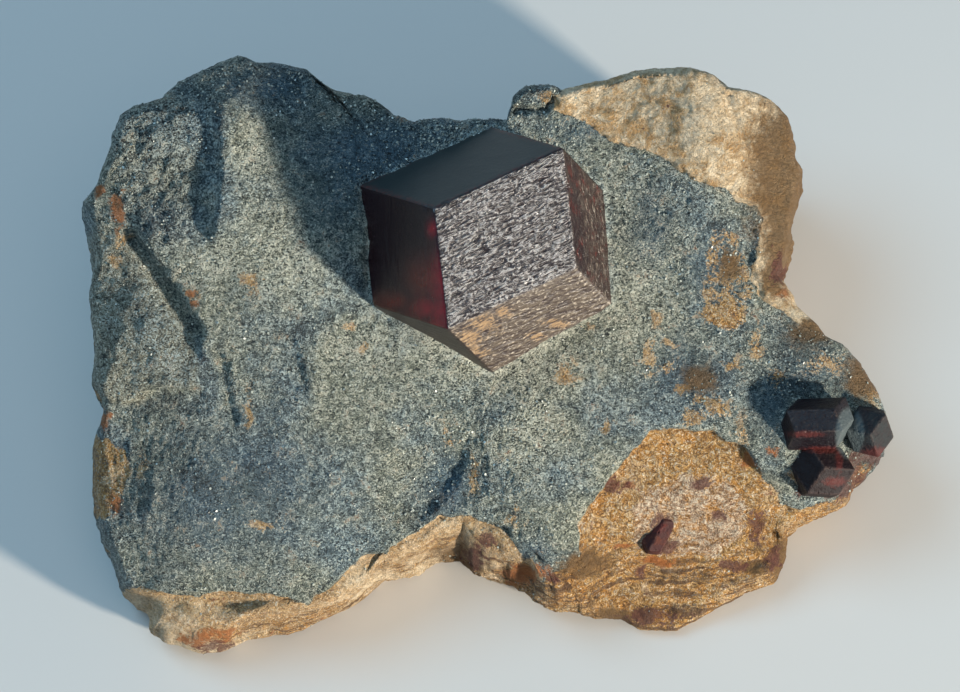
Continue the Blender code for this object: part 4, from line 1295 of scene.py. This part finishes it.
# the floor, the lights and the camera
studio = {
    "floorSize": 3.0, "floorColour": (0.64, 0.61, 0.58),
    "floorCloud": (0.5, 0.5, 0.5),                      # faint clouds in the floor's paint
    "floorRoughness": 0.85,
    "aim": (-1.0, 0.8, 0.0),                            # on the lump's face
    "cameraDistance": 800.0, "lens": 300.0, "sensor": 36.0,
    "ambient": 0.24, "ambientColour": (0.50, 0.77, 1.0),
    "lights": {
        "keyLight": {
            "toward": (0.805, -0.457, 0.378), "distance": 700.0, "size": 0.06,
            "power": 10.9, "colour": (1.0, 0.93, 0.79),
        },
        "fillLight": {
            "toward": (-0.55, 0.55, 0.75), "distance": 800.0, "size": 0.50,
            "power": 3.2, "colour": (0.40, 0.72, 1.0),
        },
        "topLight": {
            "toward": (0.1, 0.2, 1.0), "distance": 900.0, "size": 0.60,
            "power": 0.8, "colour": (1.0, 1.0, 1.0),
        },
    },
}


def makeFloor():
    # one square on the ground, painted a little unevenly
    mesh = bpy.data.meshes.new("floor")
    half = studio["floorSize"] / 2.0
    corners = [(-half, -half, 0.0), (half, -half, 0.0), (half, half, 0.0), (-half, half, 0.0)]
    mesh.from_pydata(corners, [], [(0, 1, 2, 3)])
    floor = bpy.data.objects.new("floor", mesh)
    bpy.context.scene.collection.objects.link(floor)
    material, tree, shader, start, place = startMaterial("floorPaint")
    colour = (place.grain(60.0, 2.0) * 0.06).tint(studio["floorColour"], studio["floorCloud"])
    connect(tree, colour, shader, "Base Color")
    shader.inputs["Roughness"].default_value = studio["floorRoughness"]
    mesh.materials.append(material)


def makeStudio():
    # each light is a disk at its distance from the aim, turned to face it; the camera looks square
    # at the lump's leaning face
    aim = Vector(fromFace(*studio["aim"])) * mm
    origin = Vector(fromFace(0.0, 0.0, 0.0)) * mm
    for name, spec in studio["lights"].items():
        toward = (Vector(fromFace(*spec["toward"])) * mm - origin).normalized()
        data = bpy.data.lights.new(name, "AREA")
        data.shape = "DISK"
        data.size = spec["size"]
        data.energy = spec["power"]
        data.color = spec["colour"]
        light = bpy.data.objects.new(name, data)
        light.location = aim + toward * spec["distance"] * mm
        light.rotation_euler = toward.to_track_quat("Z", "Y").to_euler()
        bpy.context.scene.collection.objects.link(light)

    world = bpy.data.worlds.new("studio")
    world.use_nodes = True
    background = world.node_tree.nodes["Background"]
    background.inputs["Color"].default_value = (*studio["ambientColour"], 1.0)
    background.inputs["Strength"].default_value = studio["ambient"]
    bpy.context.scene.world = world
    bpy.context.scene.view_settings.view_transform = "Standard"

    camera = bpy.data.objects.new("camera", bpy.data.cameras.new("camera"))
    camera.data.lens = studio["lens"]
    camera.data.sensor_width = studio["sensor"]
    camera.location = Vector(fromFace(*studio["aim"][:2], studio["cameraDistance"])) * mm
    camera.rotation_euler = (leaningFace["lean"], 0.0, 0.0)
    bpy.context.scene.collection.objects.link(camera)
    bpy.context.scene.camera = camera
    print("made the floor, the lights and the camera")


makeFloor()
makeStudio()
schistStone = schistMaterial()
lump = makeRock(schistStone)
makeMica(micaMaterial(), *lump)
makeCrystal("garnet_main", garnetMaterial())
for smallName, smallLook in smallLooks.items():
    makeCrystal(smallName, smallGarnetMaterial(smallName))
